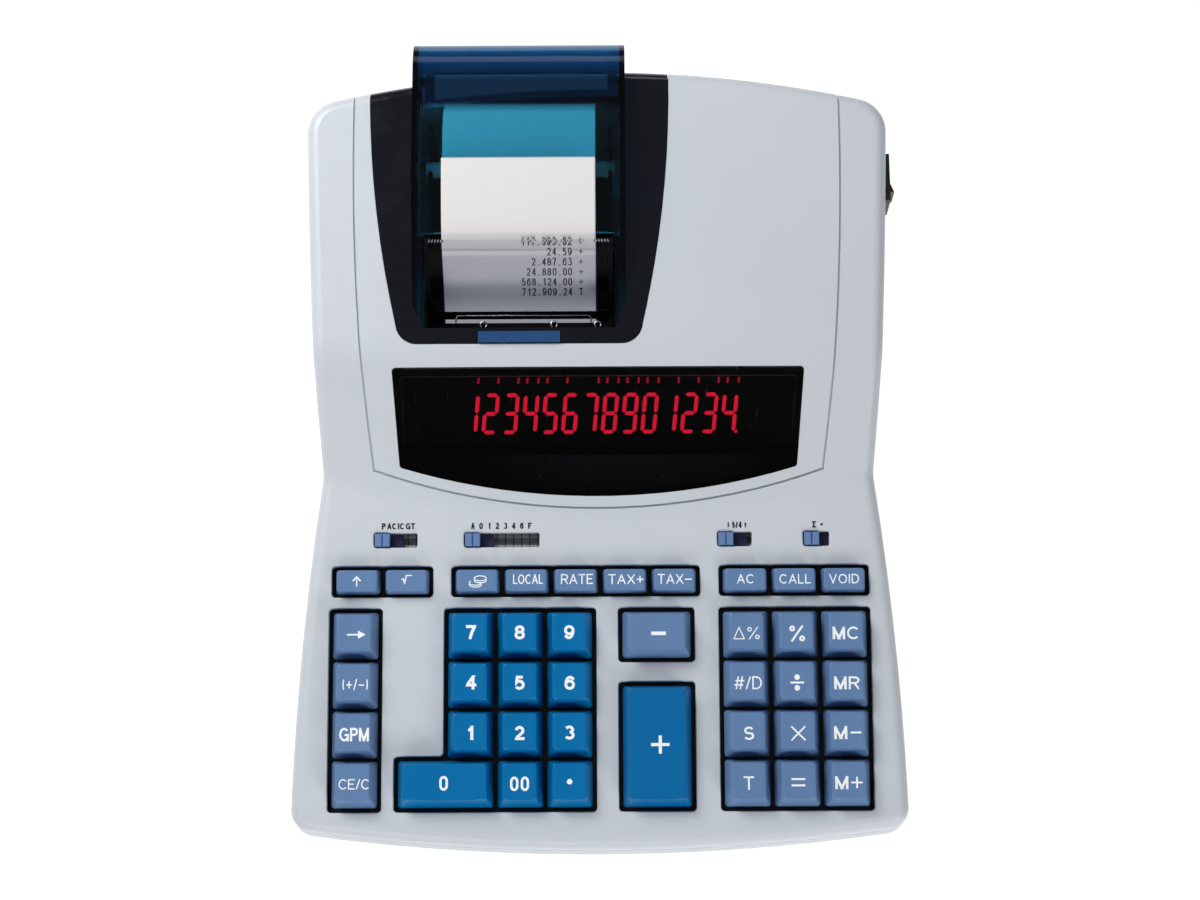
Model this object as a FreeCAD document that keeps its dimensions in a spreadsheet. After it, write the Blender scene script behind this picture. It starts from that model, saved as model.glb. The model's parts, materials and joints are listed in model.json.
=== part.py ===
import FreeCAD, Part
import math
import os
import re

import Sketcher
from FreeCAD import Placement, Rotation, Vector

# Desktop printing calculator with a sloped keyboard, a raised rear hump that holds the
# display and the printer, and a tinted cover over the paper roll.
# X runs to the right, Y to the rear and Z up. The origin is under the middle of the whole.
# Distances along the case are measured from the middle of its front edge.

SIZES = {
    # case seen from above
    "case_length": 288.2,
    "hood_overhang": 10.8,
    "front_half_width": 114.9,
    "waist_half_width": 104.3,
    "rear_half_width": 110.2,
    "waist_distance": 139.3,
    "front_radius": 795,
    "side_front_radius": 1130,
    "side_rear_radius": 2900,
    "rear_radius": 463,
    "corner_radius": 13,
    "front_corner_radius": 7.5,
    "waist_radius": 25,
    # case seen from the side
    "foot_height": 3,
    "parting_height": 15,
    "parting_gap": 0.5,
    "deck_height": 22.9,
    "deck_angle": 7,
    "hump_rise": 21.2,
    "crease_distance": 123,
    "crease_arc_radius": 334,
    "crest_distance": 182.2,
    "crease_radius": 12,
    "crest_radius": 30,
    "rim_radius": 4.5,
    "bottom_radius": 3,
    "wall": 3,
    "floor_thickness": 2.5,
    "lip_height": 2,
    "lip_thickness": 1.5,
    "overrun": 12,
    "block_height": 110,
    "fit_gap": 0.1,
    # line moulded round the top panel
    "seam_distance": 125.2,
    "seam_front_half": 85,
    "seam_rear_half": 91.5,
    "seam_arc_radius": 262,
    "seam_side_radius": 960,
    "seam_width": 0.8,
    "seam_depth": 0.8,
    # screw bosses, feet and vents
    "boss_radius": 4.4,
    "screw_radius": 1.5,
    "screw_depth": 6,
    "screw_head_radius": 2.8,
    "screw_head_height": 2,
    "screw_recess": 5,
    "front_boss_inset": 8.9,
    "front_boss_distance": 18.5,
    "waist_boss_inset": 9.3,
    "waist_boss_offset": 2.2,
    "rear_boss_inset": 12.2,
    "rear_boss_distance": 23.7,
    "foot_radius": 8,
    "foot_stub_radius": 2.5,
    "front_foot_inset": 24.9,
    "front_foot_distance": 28,
    "rear_foot_inset": 26.2,
    "rear_foot_distance": 26.2,
    "vent_length": 34,
    "vent_width": 2.4,
    "vent_pitch": 6,
    "vent_count": 7,
    # keys
    "key_pitch": 18.45,
    "key_width": 16.9,
    "key_depth": 17.4,
    "key_height": 6.5,
    "key_skirt": 2,
    "key_side_inset": 2.1,
    "key_front_inset": 2.6,
    "key_rear_inset": 1.5,
    "key_edge_radius": 1.3,
    "key_top_radius": 0.7,
    "key_wall": 1.2,
    "dish_depth": 0.3,
    "dish_rim": 1.5,
    "key_travel": 3.4,
    "key_margin": 1.6,
    "low_key_width": 16.6,
    "low_key_depth": 9.3,
    "low_key_height": 3.6,
    "low_key_inset": 0.7,
    "low_key_margin": 1.55,
    "low_row_margin": 1.25,
    "key_row_distance": 23.5,
    "low_row_distance": 99.15,
    "left_column": -91.1,
    "digit_column": -48,
    "sign_column": 21.5,
    "sign_key_width": 25.5,
    "plus_key_depth": 44.9,
    "right_column": 54.9,
    "low_left_column": -90.5,
    "low_middle_column": -45.6,
    "opening_radius": 1.6,
    "opening_edge": 0.5,
    "stem_width": 5,
    "stem_clearance": 0.3,
    "stem_bottom": 10.5,
    "stem_spread": 12,
    # parts under the keys, as depths below the deck
    "key_frame_top": 6,
    "key_frame_thickness": 2,
    "key_frame_half": 103.5,
    "key_frame_front": 11,
    "key_frame_rear": 107.5,
    "post_radius": 2.2,
    "mat_top": 14.4,
    "mat_thickness": 1,
    "dome_radius": 4.9,
    "dome_bore_radius": 4,
    "dome_height": 2.6,
    "board_thickness": 1.6,
    "board_half": 99.5,
    "board_front": 15,
    "board_rear": 120.5,
    # slide switches
    "slot_distance": 114.9,
    "slot_depth": 5.6,
    "knob_width": 5.6,
    "knob_depth": 4.8,
    "knob_height": 0.9,
    "knob_gap": 0.4,
    "knob_groove": 0.6,
    "knob_plate_top": 3.4,
    "knob_plate_thickness": 1,
    "knob_tail": 5,
    "slider_width": 2,
    "slider_bottom": 7.5,
    "switch_body_top": 4.8,
    "switch_body_width": 8,
    "print_slot_left": -84.7,
    "print_slot_length": 16.4,
    "decimal_slot_left": -50.7,
    "decimal_slot_length": 28.4,
    "rounding_slot_left": 44.7,
    "rounding_slot_length": 13,
    "total_slot_left": 77,
    "total_slot_length": 9.9,
    # display
    "window_front_half": 74.9,
    "window_rear_half": 77.2,
    "window_front_distance": 129.6,
    "window_rear_distance": 173.7,
    "window_arc_radius": 267,
    "window_corner_radius": 1.4,
    "window_thickness": 1.5,
    "window_ledge": 2.5,
    "display_distance": 157,
    "display_height": 54.75,
    "display_angle": 27,
    "display_drop": 5,
    "shroud_half": 73,
    "shroud_depth": 31,
    "shroud_height": 6,
    "recess_half": 67.2,
    "recess_depth": 23.5,
    "tube_thickness": 3,
    "display_leg": 62,
    "leg_width": 6,
    # printer cover
    "printer_centre": -29.4,
    "cover_distance": 182.1,
    "cover_front_half": 38.5,
    "cover_shoulder_half": 46,
    "cover_shoulder": 7,
    "cover_shoulder_radius": 8,
    "cover_rear_half": 56.4,
    "cover_side_radius": 411,
    "cover_side_end": 12.7,
    "cover_thickness": 2,
    "cover_gap": 0.3,
    "cover_skirt": 9,
    "exit_half": 35.75,
    "exit_front": 187.9,
    "brow_distance": 221.5,
    "crown_distance": 261.5,
    "crown_radius": 98.4,
    "hood_height": 88,
    "hood_half": 40,
    "hood_rear_radius": 14,
    "hood_bottom_height": 55,
    "tab_half": 15.3,
    "tab_depth": 4.2,
    "tab_rise": 1,
    "hinge_overhang": 4.8,
    "hinge_height": 57,
    "hinge_pin_radius": 2,
    "hinge_clearance": 0.08,
    "ear_radius": 3.6,
    "ear_width": 3.6,
    "ear_gap": 0.8,
    "ear_arm_height": 6,
    "cover_angle": 75,
    # printer bay in the case
    "bay_half": 37.6,
    "bay_front": 186.2,
    "bay_sill": 60,
    # printer
    "frame_half": 35.2,
    "plate_thickness": 1.6,
    "frame_base_height": 22,
    "frame_front": 185.5,
    "frame_rear": 271.5,
    "frame_leg_radius": 3.5,
    "roll_distance": 256,
    "roll_height": 57,
    "roll_radius": 25,
    "roll_width": 57.5,
    "core_radius": 8,
    "spindle_radius": 3,
    "spindle_half": 36.2,
    "shaft_clearance": 0.05,
    "platen_distance": 204.5,
    "platen_height": 44,
    "platen_radius": 7,
    "platen_half": 29.5,
    "platen_shaft_radius": 2.5,
    "platen_shaft_half": 40,
    "platen_gear_radius": 6,
    "platen_gear_teeth": 18,
    "platen_gear_width": 3,
    "ink_distance": 190,
    "ink_height": 33,
    "ink_radius": 4.5,
    "ink_half": 26,
    "ink_shaft_radius": 1.5,
    "ink_shaft_half": 36,
    "head_depth": 8,
    "head_height": 4,
    "head_top_height": 50,
    "head_distance": 188,
    "carriage_half": 8,
    "motor_radius": 10,
    "motor_length": 26,
    "motor_distance": 219.5,
    "motor_height": 35.5,
    # paper
    "paper_thickness": 0.25,
    "paper_clearance": 0.35,
    "exit_angle": 56.3,
    "strip_lift": 1,
    "strip_bend_radius": 20,
    "strip_end_distance": 247.6,
    # tear bar
    "tear_half": 33.6,
    "tear_bottom": 5.5,
    "tear_top": 38,
    "tear_offset": 8.6,
    "tear_thickness": 1.5,
    "tooth_count": 60,
    "tooth_height": 0.8,
    "arm_reach": 37,
    "arm_inner": 6.6,
    "arm_outer": 11,
    # power switch, transformer and lead gland
    "rocker_distance": 40.4,
    "rocker_height": 60.5,
    "rocker_inset": 2.9,
    "rocker_half_length": 6.3,
    "rocker_half_width": 5.2,
    "rocker_face": 3.5,
    "rocker_root": 3,
    "rocker_root_half": 4,
    "rocker_angle": 11,
    "rocker_pin_radius": 1,
    "cavity_half_length": 7.5,
    "cavity_half_width": 5.6,
    "housing_wall": 1.1,
    "housing_depth": 15.2,
    "bezel_overlap": 0.9,
    "bezel_thickness": 1.2,
    "core_length": 44,
    "core_width": 38,
    "core_height": 34,
    "core_left": 44,
    "core_front": 196,
    "bobbin_length": 26,
    "bobbin_overhang": 8,
    "gland_offset": 66,
    "gland_height": 34,
    "gland_bore_radius": 3.3,
    "gland_radius": 5.4,
    "gland_flange_radius": 7,
    "gland_flange": 2.4,
    "gland_inner_length": 10,
}

doc = FreeCAD.newDocument("PrintingCalculator")
sheet = doc.addObject("Spreadsheet::Sheet", "Sizes")
for line, (alias, number) in enumerate(SIZES.items(), 1):
    sheet.set(f"A{line}", alias)
    sheet.set(f"B{line}", str(number))
    sheet.setAlias(f"B{line}", alias)
doc.recompute()

NODES = {}


# Helpers that tie objects to the sheet

def linked(text):
    """The expression with every size written as its cell in the sheet."""
    def cell(word):
        name = word.group()
        return "Sizes." + name if name in SIZES else name
    return re.sub(r"[a-z_]+", cell, str(text))


def value(text):
    return float(sheet.evalExpression(linked(text)))


def bind(item, **sizes):
    for name, text in sizes.items():
        item.setExpression(name, linked(text))
    return item


def place(item, x="0", y="0", z="0", angle=None, axis=Vector(1, 0, 0)):
    """Put an object at x, y, z, turned about the axis."""
    if angle is not None:
        item.Placement = Placement(Vector(), Rotation(axis, value(angle)))
        item.setExpression("Placement.Rotation.Angle", linked(angle))
    for letter, text in zip("xyz", (x, y, z)):
        item.setExpression("Placement.Base." + letter, linked(text))
    return item


def node(name, item):
    """Name a finished sub-part."""
    item.Label = name
    NODES[name] = item
    return item


# Places shared by several sub-parts

FRONT = "(0 - (case_length + hood_overhang) / 2)"
REAR = f"({FRONT} + case_length)"
WAIST = f"({FRONT} + waist_distance)"
HINGE = f"({REAR} + hinge_overhang)"
ROLL = f"({FRONT} + roll_distance)"
PLATEN = f"({FRONT} + platen_distance)"
INK = f"({FRONT} + ink_distance)"
ROCKER = f"({REAR} - rocker_distance)"
PIVOT = "(rear_half_width - rocker_inset)"
HOUSING_END = "(rear_half_width - housing_depth)"
FLOOR = "(foot_height + floor_thickness)"
UNDERSIDE = "(wall * cos(deck_angle))"
BOARD_TOP = "(mat_top + mat_thickness)"


def deck_y(along, above="0"):
    return f"({FRONT} + ({along}) * cos(deck_angle) - ({above}) * sin(deck_angle))"


def deck_z(along, above="0"):
    return f"(deck_height + ({along}) * sin(deck_angle) + ({above}) * cos(deck_angle))"


def exit_y(along, out):
    """Y of a point measured along the paper's exit line and out from it, from the platen axis."""
    return f"({PLATEN} + ({along}) * cos(exit_angle) - ({out}) * sin(exit_angle))"


def exit_z(along, out):
    return f"(platen_height + ({along}) * sin(exit_angle) + ({out}) * cos(exit_angle))"


def on_deck(item, x="0", along="0", above="0"):
    """Put an object in the frame of the sloped deck."""
    return place(item, x, deck_y(along, above), deck_z(along, above), angle="deck_angle")


# Shapes

def box(name, low, high):
    item = doc.addObject("Part::Box", name)
    spans = [f"({b}) - ({a})" for a, b in zip(low, high)]
    bind(item, Length=spans[0], Width=spans[1], Height=spans[2])
    return place(item, *low)


def rod(name, radius, low, high, y="0", z="0"):
    """A cylinder along X from low to high."""
    item = doc.addObject("Part::Cylinder", name)
    bind(item, Radius=radius, Height=f"({high}) - ({low})")
    return place(item, low, y, z, angle="90", axis=Vector(0, 1, 0))


def upright(name, radius, x, y, low, high):
    """A cylinder along Z from low to high."""
    item = doc.addObject("Part::Cylinder", name)
    bind(item, Radius=radius, Height=f"({high}) - ({low})")
    return place(item, x, y, low)


def gather(name, items):
    """Separate solids held as one object."""
    item = doc.addObject("Part::Compound", name)
    item.Links = items
    return item


def fuse(name, *items):
    item = doc.addObject("Part::MultiFuse", name)
    item.Shapes = list(items)
    item.Refine = True
    return item


def common(name, *items):
    item = doc.addObject("Part::MultiCommon", name)
    item.Shapes = list(items)
    return item


def cut(name, base, *tools):
    item = doc.addObject("Part::Cut", name)
    item.Base = base
    item.Tool = tools[0] if len(tools) == 1 else gather(name + "_tools", list(tools))
    item.Refine = True
    return item


def rounded(name, base, choices):
    """Fillet the edges of a computed base that each test picks, with the radius beside it."""
    item = doc.addObject("Part::Fillet", name)
    item.Base = base
    edges = []
    for test, radius in choices:
        size = value(radius)
        edges += [(n, size, size) for n, edge in enumerate(base.Shape.Edges, 1) if test(edge)]
    item.Edges = edges
    item.recompute()
    item.purgeTouched()
    return item


def extrude(name, profile, direction, length):
    item = doc.addObject("Part::Extrusion", name)
    item.Base = profile
    item.DirMode = "Custom"
    item.Dir = direction
    item.Solid = True
    return bind(item, LengthFwd=length)


def arc_between(start, end, radius):
    """An arc from start to end that bulges to the right of the way from start to end."""
    chord = end - start
    outward = Vector(chord.y, -chord.x, 0).normalize()
    rise = math.sqrt(radius ** 2 - (chord.Length / 2) ** 2)
    centre = (start + end) * 0.5 - outward * rise
    first = math.atan2(start.y - centre.y, start.x - centre.x)
    last = math.atan2(end.y - centre.y, end.x - centre.x)
    if last < first:
        last += 2 * math.pi
    return Part.ArcOfCircle(Part.Circle(centre, Vector(0, 0, 1), radius), first, last)


def outline(name, corners, radii, upright_plane=False):
    """A closed sketch: corners as x and y, and the radius of the side that follows each corner.

    A side with no radius is straight. The corners run anticlockwise and arcs bulge outward.
    """
    item = doc.addObject("Sketcher::SketchObject", name)
    if upright_plane:
        item.Placement = Placement(Vector(), Rotation(Vector(1, 1, 1), 120))
    points = [Vector(value(x), value(y), 0) for x, y in corners]
    count = len(points)
    for side, radius in enumerate(radii):
        start, end = points[side], points[(side + 1) % count]
        curved = radius is not None
        item.addGeometry(arc_between(start, end, value(radius)) if curved else Part.LineSegment(start, end))
    for side, (x, y) in enumerate(corners):
        item.addConstraint(Sketcher.Constraint("Coincident", (side - 1) % count, 2, side, 1))
        rules = [Sketcher.Constraint("DistanceX", -1, 1, side, 1, points[side].x),
                 Sketcher.Constraint("DistanceY", -1, 1, side, 1, points[side].y)]
        texts = [x, y]
        if radii[side] is not None:
            rules.append(Sketcher.Constraint("Radius", side, value(radii[side])))
            texts.append(radii[side])
        for rule, text in zip(rules, texts):
            number = item.addConstraint(rule)
            item.setExpression(f"Constraints[{number}]", linked(text))
    return item


# Edge tests

def stands(edge):
    run = edge.Vertexes[-1].Point - edge.Vertexes[0].Point
    return math.hypot(run.x, run.y) < 1e-6 and run.Length > 1


def level_at(height):
    return lambda edge: all(abs(v.Point.z - height) < 1e-4 for v in edge.Vertexes)


def near_waist(edge):
    return stands(edge) and abs(edge.Vertexes[0].Point.y - value(WAIST)) < 1


def ahead_of_waist(edge):
    return stands(edge) and edge.Vertexes[0].Point.y < value(WAIST) - 1


def behind_waist(edge):
    return stands(edge) and edge.Vertexes[0].Point.y > value(WAIST) + 1


# Outer form of the case

def plan(name, inset="0"):
    """The case seen from above, drawn in by the inset."""
    front, waist, rear = (f"({size} - {inset})" for size in
                          ("front_half_width", "waist_half_width", "rear_half_width"))
    ahead, behind = f"(front_radius - {inset})", f"(rear_radius - {inset})"
    side, flank = f"(side_front_radius - {inset})", f"(side_rear_radius - {inset})"
    front_y = f"({FRONT} + {inset} + {ahead} - sqrt({ahead}^2 - {front}^2))"
    rear_y = f"({REAR} - {inset} - {behind} + sqrt({behind}^2 - {rear}^2))"
    corners = [("-" + front, front_y), (front, front_y), (waist, WAIST),
               (rear, rear_y), ("-" + rear, rear_y), ("-" + waist, WAIST)]
    return outline(name, corners, [ahead, side, flank, behind, flank, side])


def plan_block(name, low, high, inset="0"):
    """An upright block with the case's plan and rounded corners."""
    profile = place(plan(name + "_plan", inset), z=low)
    block = extrude(name + "_block", profile, Vector(0, 0, 1), f"({high}) - ({low})")
    doc.recompute()
    return rounded(name, block, [(ahead_of_waist, f"front_corner_radius - {inset}"),
                                 (near_waist, f"waist_radius + {inset}"),
                                 (behind_waist, f"corner_radius - {inset}")])


def deck_form():
    """Everything under the deck, the display slope and the roof."""
    half = "(front_half_width + overrun)"
    rear = "(case_length + 2 * overrun)"
    slab = box("deck_slab", ("-" + half, "-overrun", "-block_height"), (half, rear, "0"))
    edge_y = f"(crease_distance + crease_arc_radius - sqrt(crease_arc_radius^2 - {half}^2))"
    foot = outline("hump_foot", [("-" + half, edge_y), (half, edge_y), (half, rear), ("-" + half, rear)],
                   ["crease_arc_radius", None, None, None])
    roof = outline("hump_roof", [("-" + half, "crest_distance"), (half, "crest_distance"),
                                 (half, rear), ("-" + half, rear)], [None] * 4)
    place(roof, z="hump_rise")
    hump = doc.addObject("Part::Loft", "hump")
    hump.Sections = [foot, roof]
    hump.Solid = True
    hump.Ruled = True
    doc.recompute()
    whole = fuse("deck_and_hump", slab, hump)
    doc.recompute()

    def crest(edge):
        middle = edge.CenterOfMass
        return (abs(middle.z - value("hump_rise")) < 0.1
                and abs(middle.y - value("crest_distance")) < 0.1)

    def crease(edge):
        return (level_at(0)(edge) and edge.Length > value("waist_half_width")
                and edge.CenterOfMass.y < value("crest_distance")
                and edge.CenterOfMass.y > value("crease_distance") - 1)

    over = rounded("crest_rounded", whole, [(crest, "crest_radius")])
    both = rounded("crease_rounded", over, [(crease, "crease_radius")])
    return on_deck(both)


def case_form():
    """The top case as one solid block, with its rim rounded."""
    block = common("case_raw", plan_block("case_plan", "parting_height", "block_height"), deck_form())
    doc.recompute()
    faces = block.Shape.Faces
    walls = []
    for face in faces:
        low_u, high_u, low_v, high_v = face.ParameterRange
        normal = face.normalAt((low_u + high_u) / 2, (low_v + high_v) / 2)
        if abs(normal.z) < 1e-3:
            walls.append(face)
    wall_edges = [edge for face in walls for edge in face.Edges]

    def rim(edge):
        shared = sum(1 for other in wall_edges if other.isSame(edge))
        return shared == 1 and not stands(edge) and not level_at(value("parting_height"))(edge)

    return rounded("case_form", block, [(rim, "rim_radius")])


def lowered(form, depth):
    """A copy of the case's form, moved down by the depth."""
    copy = gather("lowered", [form])
    return place(copy, z=f"-({depth})")


def inner_form(name, form, depth):
    """The case's form drawn in by the depth at the top and at the walls."""
    return common(name, lowered(form, depth), plan_block(name + "_plan", "0", "block_height", depth))


# Outlines cut into the top case

def seam_block(name, inset):
    front, rear = f"(seam_front_half - {inset})", f"(seam_rear_half - {inset})"
    radius = f"(seam_arc_radius - {inset})"
    front_y = f"({FRONT} + seam_distance + {inset} + {radius} - sqrt({radius}^2 - {front}^2))"
    rear_y = f"({REAR} + overrun)"
    profile = outline(name + "_outline", [("-" + front, front_y), (front, front_y),
                                          (rear, rear_y), ("-" + rear, rear_y)],
                      [radius, "seam_side_radius", None, "seam_side_radius"])
    place(profile, z="parting_height")
    return extrude(name, profile, Vector(0, 0, 1), "block_height")


def window_block(name, inset):
    front, rear = f"(window_front_half - {inset})", f"(window_rear_half - {inset})"
    radius = f"(window_arc_radius - {inset})"
    front_y = f"({FRONT} + window_front_distance + {inset} + {radius} - sqrt({radius}^2 - {front}^2))"
    rear_y = f"({FRONT} + window_rear_distance - {inset})"
    profile = outline(name + "_outline", [("-" + front, front_y), (front, front_y),
                                          (rear, rear_y), ("-" + rear, rear_y)],
                      [radius, None, None, None])
    place(profile, z="parting_height")
    block = extrude(name + "_block", profile, Vector(0, 0, 1), "block_height")
    doc.recompute()
    return rounded(name, block, [(stands, "window_corner_radius")])


def cover_block(name, outset):
    """The cover's wings seen from above, running out behind the case."""
    halves = [f"(cover_front_half + {outset})", f"(cover_shoulder_half + {outset})",
              f"(cover_rear_half + {outset})", f"(cover_rear_half + {outset})"]
    places = [f"({FRONT} + cover_distance - {outset})", f"({FRONT} + cover_distance + cover_shoulder)",
              f"({REAR} - cover_side_end)", f"({REAR} + overrun)"]
    right = [(f"(printer_centre + {half})", y) for half, y in zip(halves, places)]
    left = [(f"(printer_centre - {half})", y) for half, y in zip(halves, places)]
    curves = ["cover_shoulder_radius", "cover_side_radius", None]
    profile = outline(name + "_outline", right + left[::-1], curves + [None] + curves[::-1] + [None])
    place(profile, z="parting_height")
    return extrude(name, profile, Vector(0, 0, 1), "block_height")


def above_skirt(name, drop):
    """The space above a plane that lies under the roof by the drop."""
    half = "(front_half_width + overrun)"
    space = box(name + "_space", ("-" + half, "0", f"hump_rise - ({drop})"),
                (half, "case_length + 3 * overrun", "block_height"))
    return on_deck(gather(name, [space]))


# Keys: node, x, distance along the deck, and the size when it isn't the usual one

def grid_row(number):
    return f"(key_row_distance + {number} * key_pitch)"


def column(name, number=0):
    return f"({name} + {number} * key_pitch)"


DIGIT_NODES = [["key_1", "key_2", "key_3"], ["key_4", "key_5", "key_6"], ["key_7", "key_8", "key_9"]]
LEFT_NODES = ["key_clear", "key_margin", "key_sign", "key_arrow"]
RIGHT_NODES = [["key_total", "key_equals", "key_memory_plus"],
               ["key_subtotal", "key_multiply", "key_memory_minus"],
               ["key_date", "key_divide", "key_memory_recall"],
               ["key_delta_percent", "key_percent", "key_memory_clear"]]
LOW_NODES = [("low_left_column", ["key_feed", "key_root"]),
             ("low_middle_column",
              ["key_currency", "key_local", "key_rate", "key_tax_plus", "key_tax_minus"]),
             ("right_column", ["key_ac", "key_call", "key_void"])]
WIDE = "(key_width + key_pitch)"
PLUS_DISTANCE = f"({grid_row(0)} - key_depth / 2 + plus_key_depth / 2)"


def key_list():
    keys = []
    for row, names in enumerate(DIGIT_NODES, 1):
        keys += [(name, column("digit_column", place_in), grid_row(row), "key_width", "key_depth")
                 for place_in, name in enumerate(names)]
    keys.append(("key_0", "(digit_column - key_pitch / 2)", grid_row(0), WIDE, "key_depth"))
    keys.append(("key_00", column("digit_column", 1), grid_row(0), "key_width", "key_depth"))
    keys.append(("key_point", column("digit_column", 2), grid_row(0), "key_width", "key_depth"))
    keys.append(("key_plus", "sign_column", PLUS_DISTANCE, "sign_key_width", "plus_key_depth"))
    keys.append(("key_minus", "sign_column", grid_row(3), "sign_key_width", "key_depth"))
    for row, name in enumerate(LEFT_NODES):
        keys.append((name, "left_column", grid_row(row), "key_width", "key_depth"))
    for row, names in enumerate(RIGHT_NODES):
        keys += [(name, column("right_column", place_in), grid_row(row), "key_width", "key_depth")
                 for place_in, name in enumerate(names)]
    for start, names in LOW_NODES:
        keys += [(name, column(start, place_in), "low_row_distance", "low_key_width", "low_key_depth")
                 for place_in, name in enumerate(names)]
    return keys


KEYS = key_list()


def stem_places(width, depth):
    """Offsets of a key's stems from its middle: two under a long key, else one."""
    if width == WIDE:
        return [("stem_spread", "0"), ("-stem_spread", "0")]
    if depth == "plus_key_depth":
        return [("0", "stem_spread"), ("0", "-stem_spread")]
    return [("0", "0")]


def wedge(name, low, high, half_width, half_depth, insets):
    """A block that tapers upward; the insets are left and right, front, rear."""
    side, front, rear = insets
    item = doc.addObject("Part::Wedge", name)
    bind(item, Xmin=f"-({half_width})", Xmax=half_width, Ymin=low, Ymax=high,
         Zmin=f"-({half_depth})", Zmax=half_depth,
         X2min=f"-({half_width}) + ({side})", X2max=f"({half_width}) - ({side})",
         Z2min=f"-({half_depth}) + ({rear})", Z2max=f"({half_depth}) - ({front})")
    item.Placement = Placement(Vector(), Rotation(Vector(1, 0, 0), 90))
    return item


def key_form(name, width, depth):
    """A hollow key cap with a dished top and its stems, about the middle of its foot."""
    low = depth == "low_key_depth"
    height = "low_key_height" if low else "key_height"
    insets = ["low_key_inset"] * 3 if low else ["key_side_inset", "key_front_inset", "key_rear_inset"]
    half_width, half_depth = f"({width} / 2)", f"({depth} / 2)"
    solid = wedge(name + "_solid", "-key_skirt", height, half_width, half_depth, insets)
    solid.recompute()
    top = value(height)

    def side_edge(edge):
        return abs(edge.Vertexes[0].Point.z - edge.Vertexes[-1].Point.z) > 1

    cap = rounded(name + "_cap", solid, [(side_edge, "key_edge_radius"), (level_at(top), "key_top_radius")])
    reach = f"({half_width} - {insets[0]} - dish_rim)"
    dish_radius = f"(({reach}^2 + dish_depth^2) / (2 * dish_depth))"
    dish = doc.addObject("Part::Cylinder", name + "_dish")
    bind(dish, Radius=dish_radius, Height=f"2 * ({depth})")
    place(dish, "0", depth, f"{height} - dish_depth + {dish_radius}", angle="90")
    hollow = wedge(name + "_hollow", "-key_skirt - 1", f"({height} - key_wall - dish_depth)",
                   f"({half_width} - key_wall)", f"({half_depth} - key_wall)", insets)
    stems = []
    for number, (dx, dy) in enumerate(stem_places(width, depth)):
        half = "stem_width / 2"
        stems.append(box(f"{name}_stem_{number}", (f"{dx} - {half}", f"{dy} - {half}", "-stem_bottom"),
                         (f"{dx} + {half}", f"{dy} + {half}", f"({height} - key_wall / 2 - dish_depth)")))
    return fuse(name, cut(name + "_shell", cap, dish, hollow), *stems)


def build_keys():
    forms = {}
    for name, x, along, width, depth in KEYS:
        if (width, depth) not in forms:
            forms[width, depth] = key_form(f"key_form_{len(forms)}", width, depth)
        node(name, on_deck(gather(name + "_cap", [forms[width, depth]]), x, along))


# Openings of the deck, in the deck's own frame

def opening(name, left, right, front, rear):
    return box(name + "_block", (left, front, "-block_height / 2"), (right, rear, "block_height / 2"))


def key_openings():
    side, end = "(key_width / 2 + key_margin)", "(key_depth / 2 + key_margin)"
    low_side, low_end = "(low_key_width / 2 + low_key_margin)", "(low_key_depth / 2 + low_row_margin)"
    front, rear = f"({grid_row(0)} - {end})", f"({grid_row(3)} + {end})"
    digit_right = f"{column('digit_column', 2)} + {side}"
    sign_left = "(sign_column - sign_key_width / 2 - key_margin)"
    sign_right = "(sign_column + sign_key_width / 2 + key_margin)"
    blocks = [
        opening("left_opening", f"left_column - {side}", f"left_column + {side}", front, rear),
        fuse("digit_opening",
             opening("digit_upper", f"digit_column - {side}", digit_right, front, rear),
             opening("digit_lower", f"digit_column - key_pitch - {side}", "digit_column",
                     front, f"({grid_row(0)} + {end})")),
        opening("minus_opening", sign_left, sign_right, f"{grid_row(3)} - {end}", rear),
        opening("plus_opening", sign_left, sign_right, front,
                f"{PLUS_DISTANCE} + plus_key_depth / 2 + key_margin"),
        opening("right_opening", f"right_column - {side}", f"{column('right_column', 2)} + {side}",
                front, rear),
    ]
    for start, names in LOW_NODES:
        blocks.append(opening(start + "_low", f"{start} - {low_side}",
                              f"{column(start, len(names) - 1)} + {low_side}",
                              f"low_row_distance - {low_end}", f"low_row_distance + {low_end}"))
    doc.recompute()
    return [rounded(block.Name + "_rounded", block, [(stands, "opening_radius")]) for block in blocks]


SWITCHES = [("print_switch", "print_slot"), ("decimal_switch", "decimal_slot"),
            ("rounding_switch", "rounding_slot"), ("total_switch", "total_slot")]


def slot_openings():
    items = []
    for name, slot in SWITCHES:
        block = opening(name + "_slot", f"{slot}_left", f"{slot}_left + {slot}_length",
                        "slot_distance - slot_depth / 2", "slot_distance + slot_depth / 2")
        block.recompute()
        items.append(rounded(name + "_opening", block, [(stands, "opening_radius / 2")]))
    return items


def stem_holes(prefix, radius_extra):
    """One upright square hole for each key stem, in the deck's frame."""
    items = []
    half = f"(stem_width / 2 + {radius_extra})"
    for name, x, along, width, depth in KEYS:
        for number, (dx, dy) in enumerate(stem_places(width, depth)):
            items.append(box(f"{prefix}_{name}_{number}",
                             (f"{x} + {dx} - {half}", f"{along} + {dy} - {half}", "-block_height"),
                             (f"{x} + {dx} + {half}", f"{along} + {dy} + {half}", "0")))
    return items


# Screw bosses

BOSS_ROWS = [("(front_half_width - front_boss_inset)", f"({FRONT} + front_boss_distance)"),
             ("(waist_half_width - waist_boss_inset)", f"({WAIST} + waist_boss_offset)"),
             ("(rear_half_width - rear_boss_inset)", f"({REAR} - rear_boss_distance)")]
FOOT_ROWS = [("(front_half_width - front_foot_inset)", f"({FRONT} + front_foot_distance)"),
             ("(rear_half_width - rear_foot_inset)", f"({REAR} - rear_foot_distance)")]
BOSSES = [(sign + x, y) for x, y in BOSS_ROWS for sign in ("-", "")]
FEET = [(sign + x, y) for x, y in FOOT_ROWS for sign in ("-", "")]
SCREW_SEAT = "(foot_height + screw_recess)"


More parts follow.
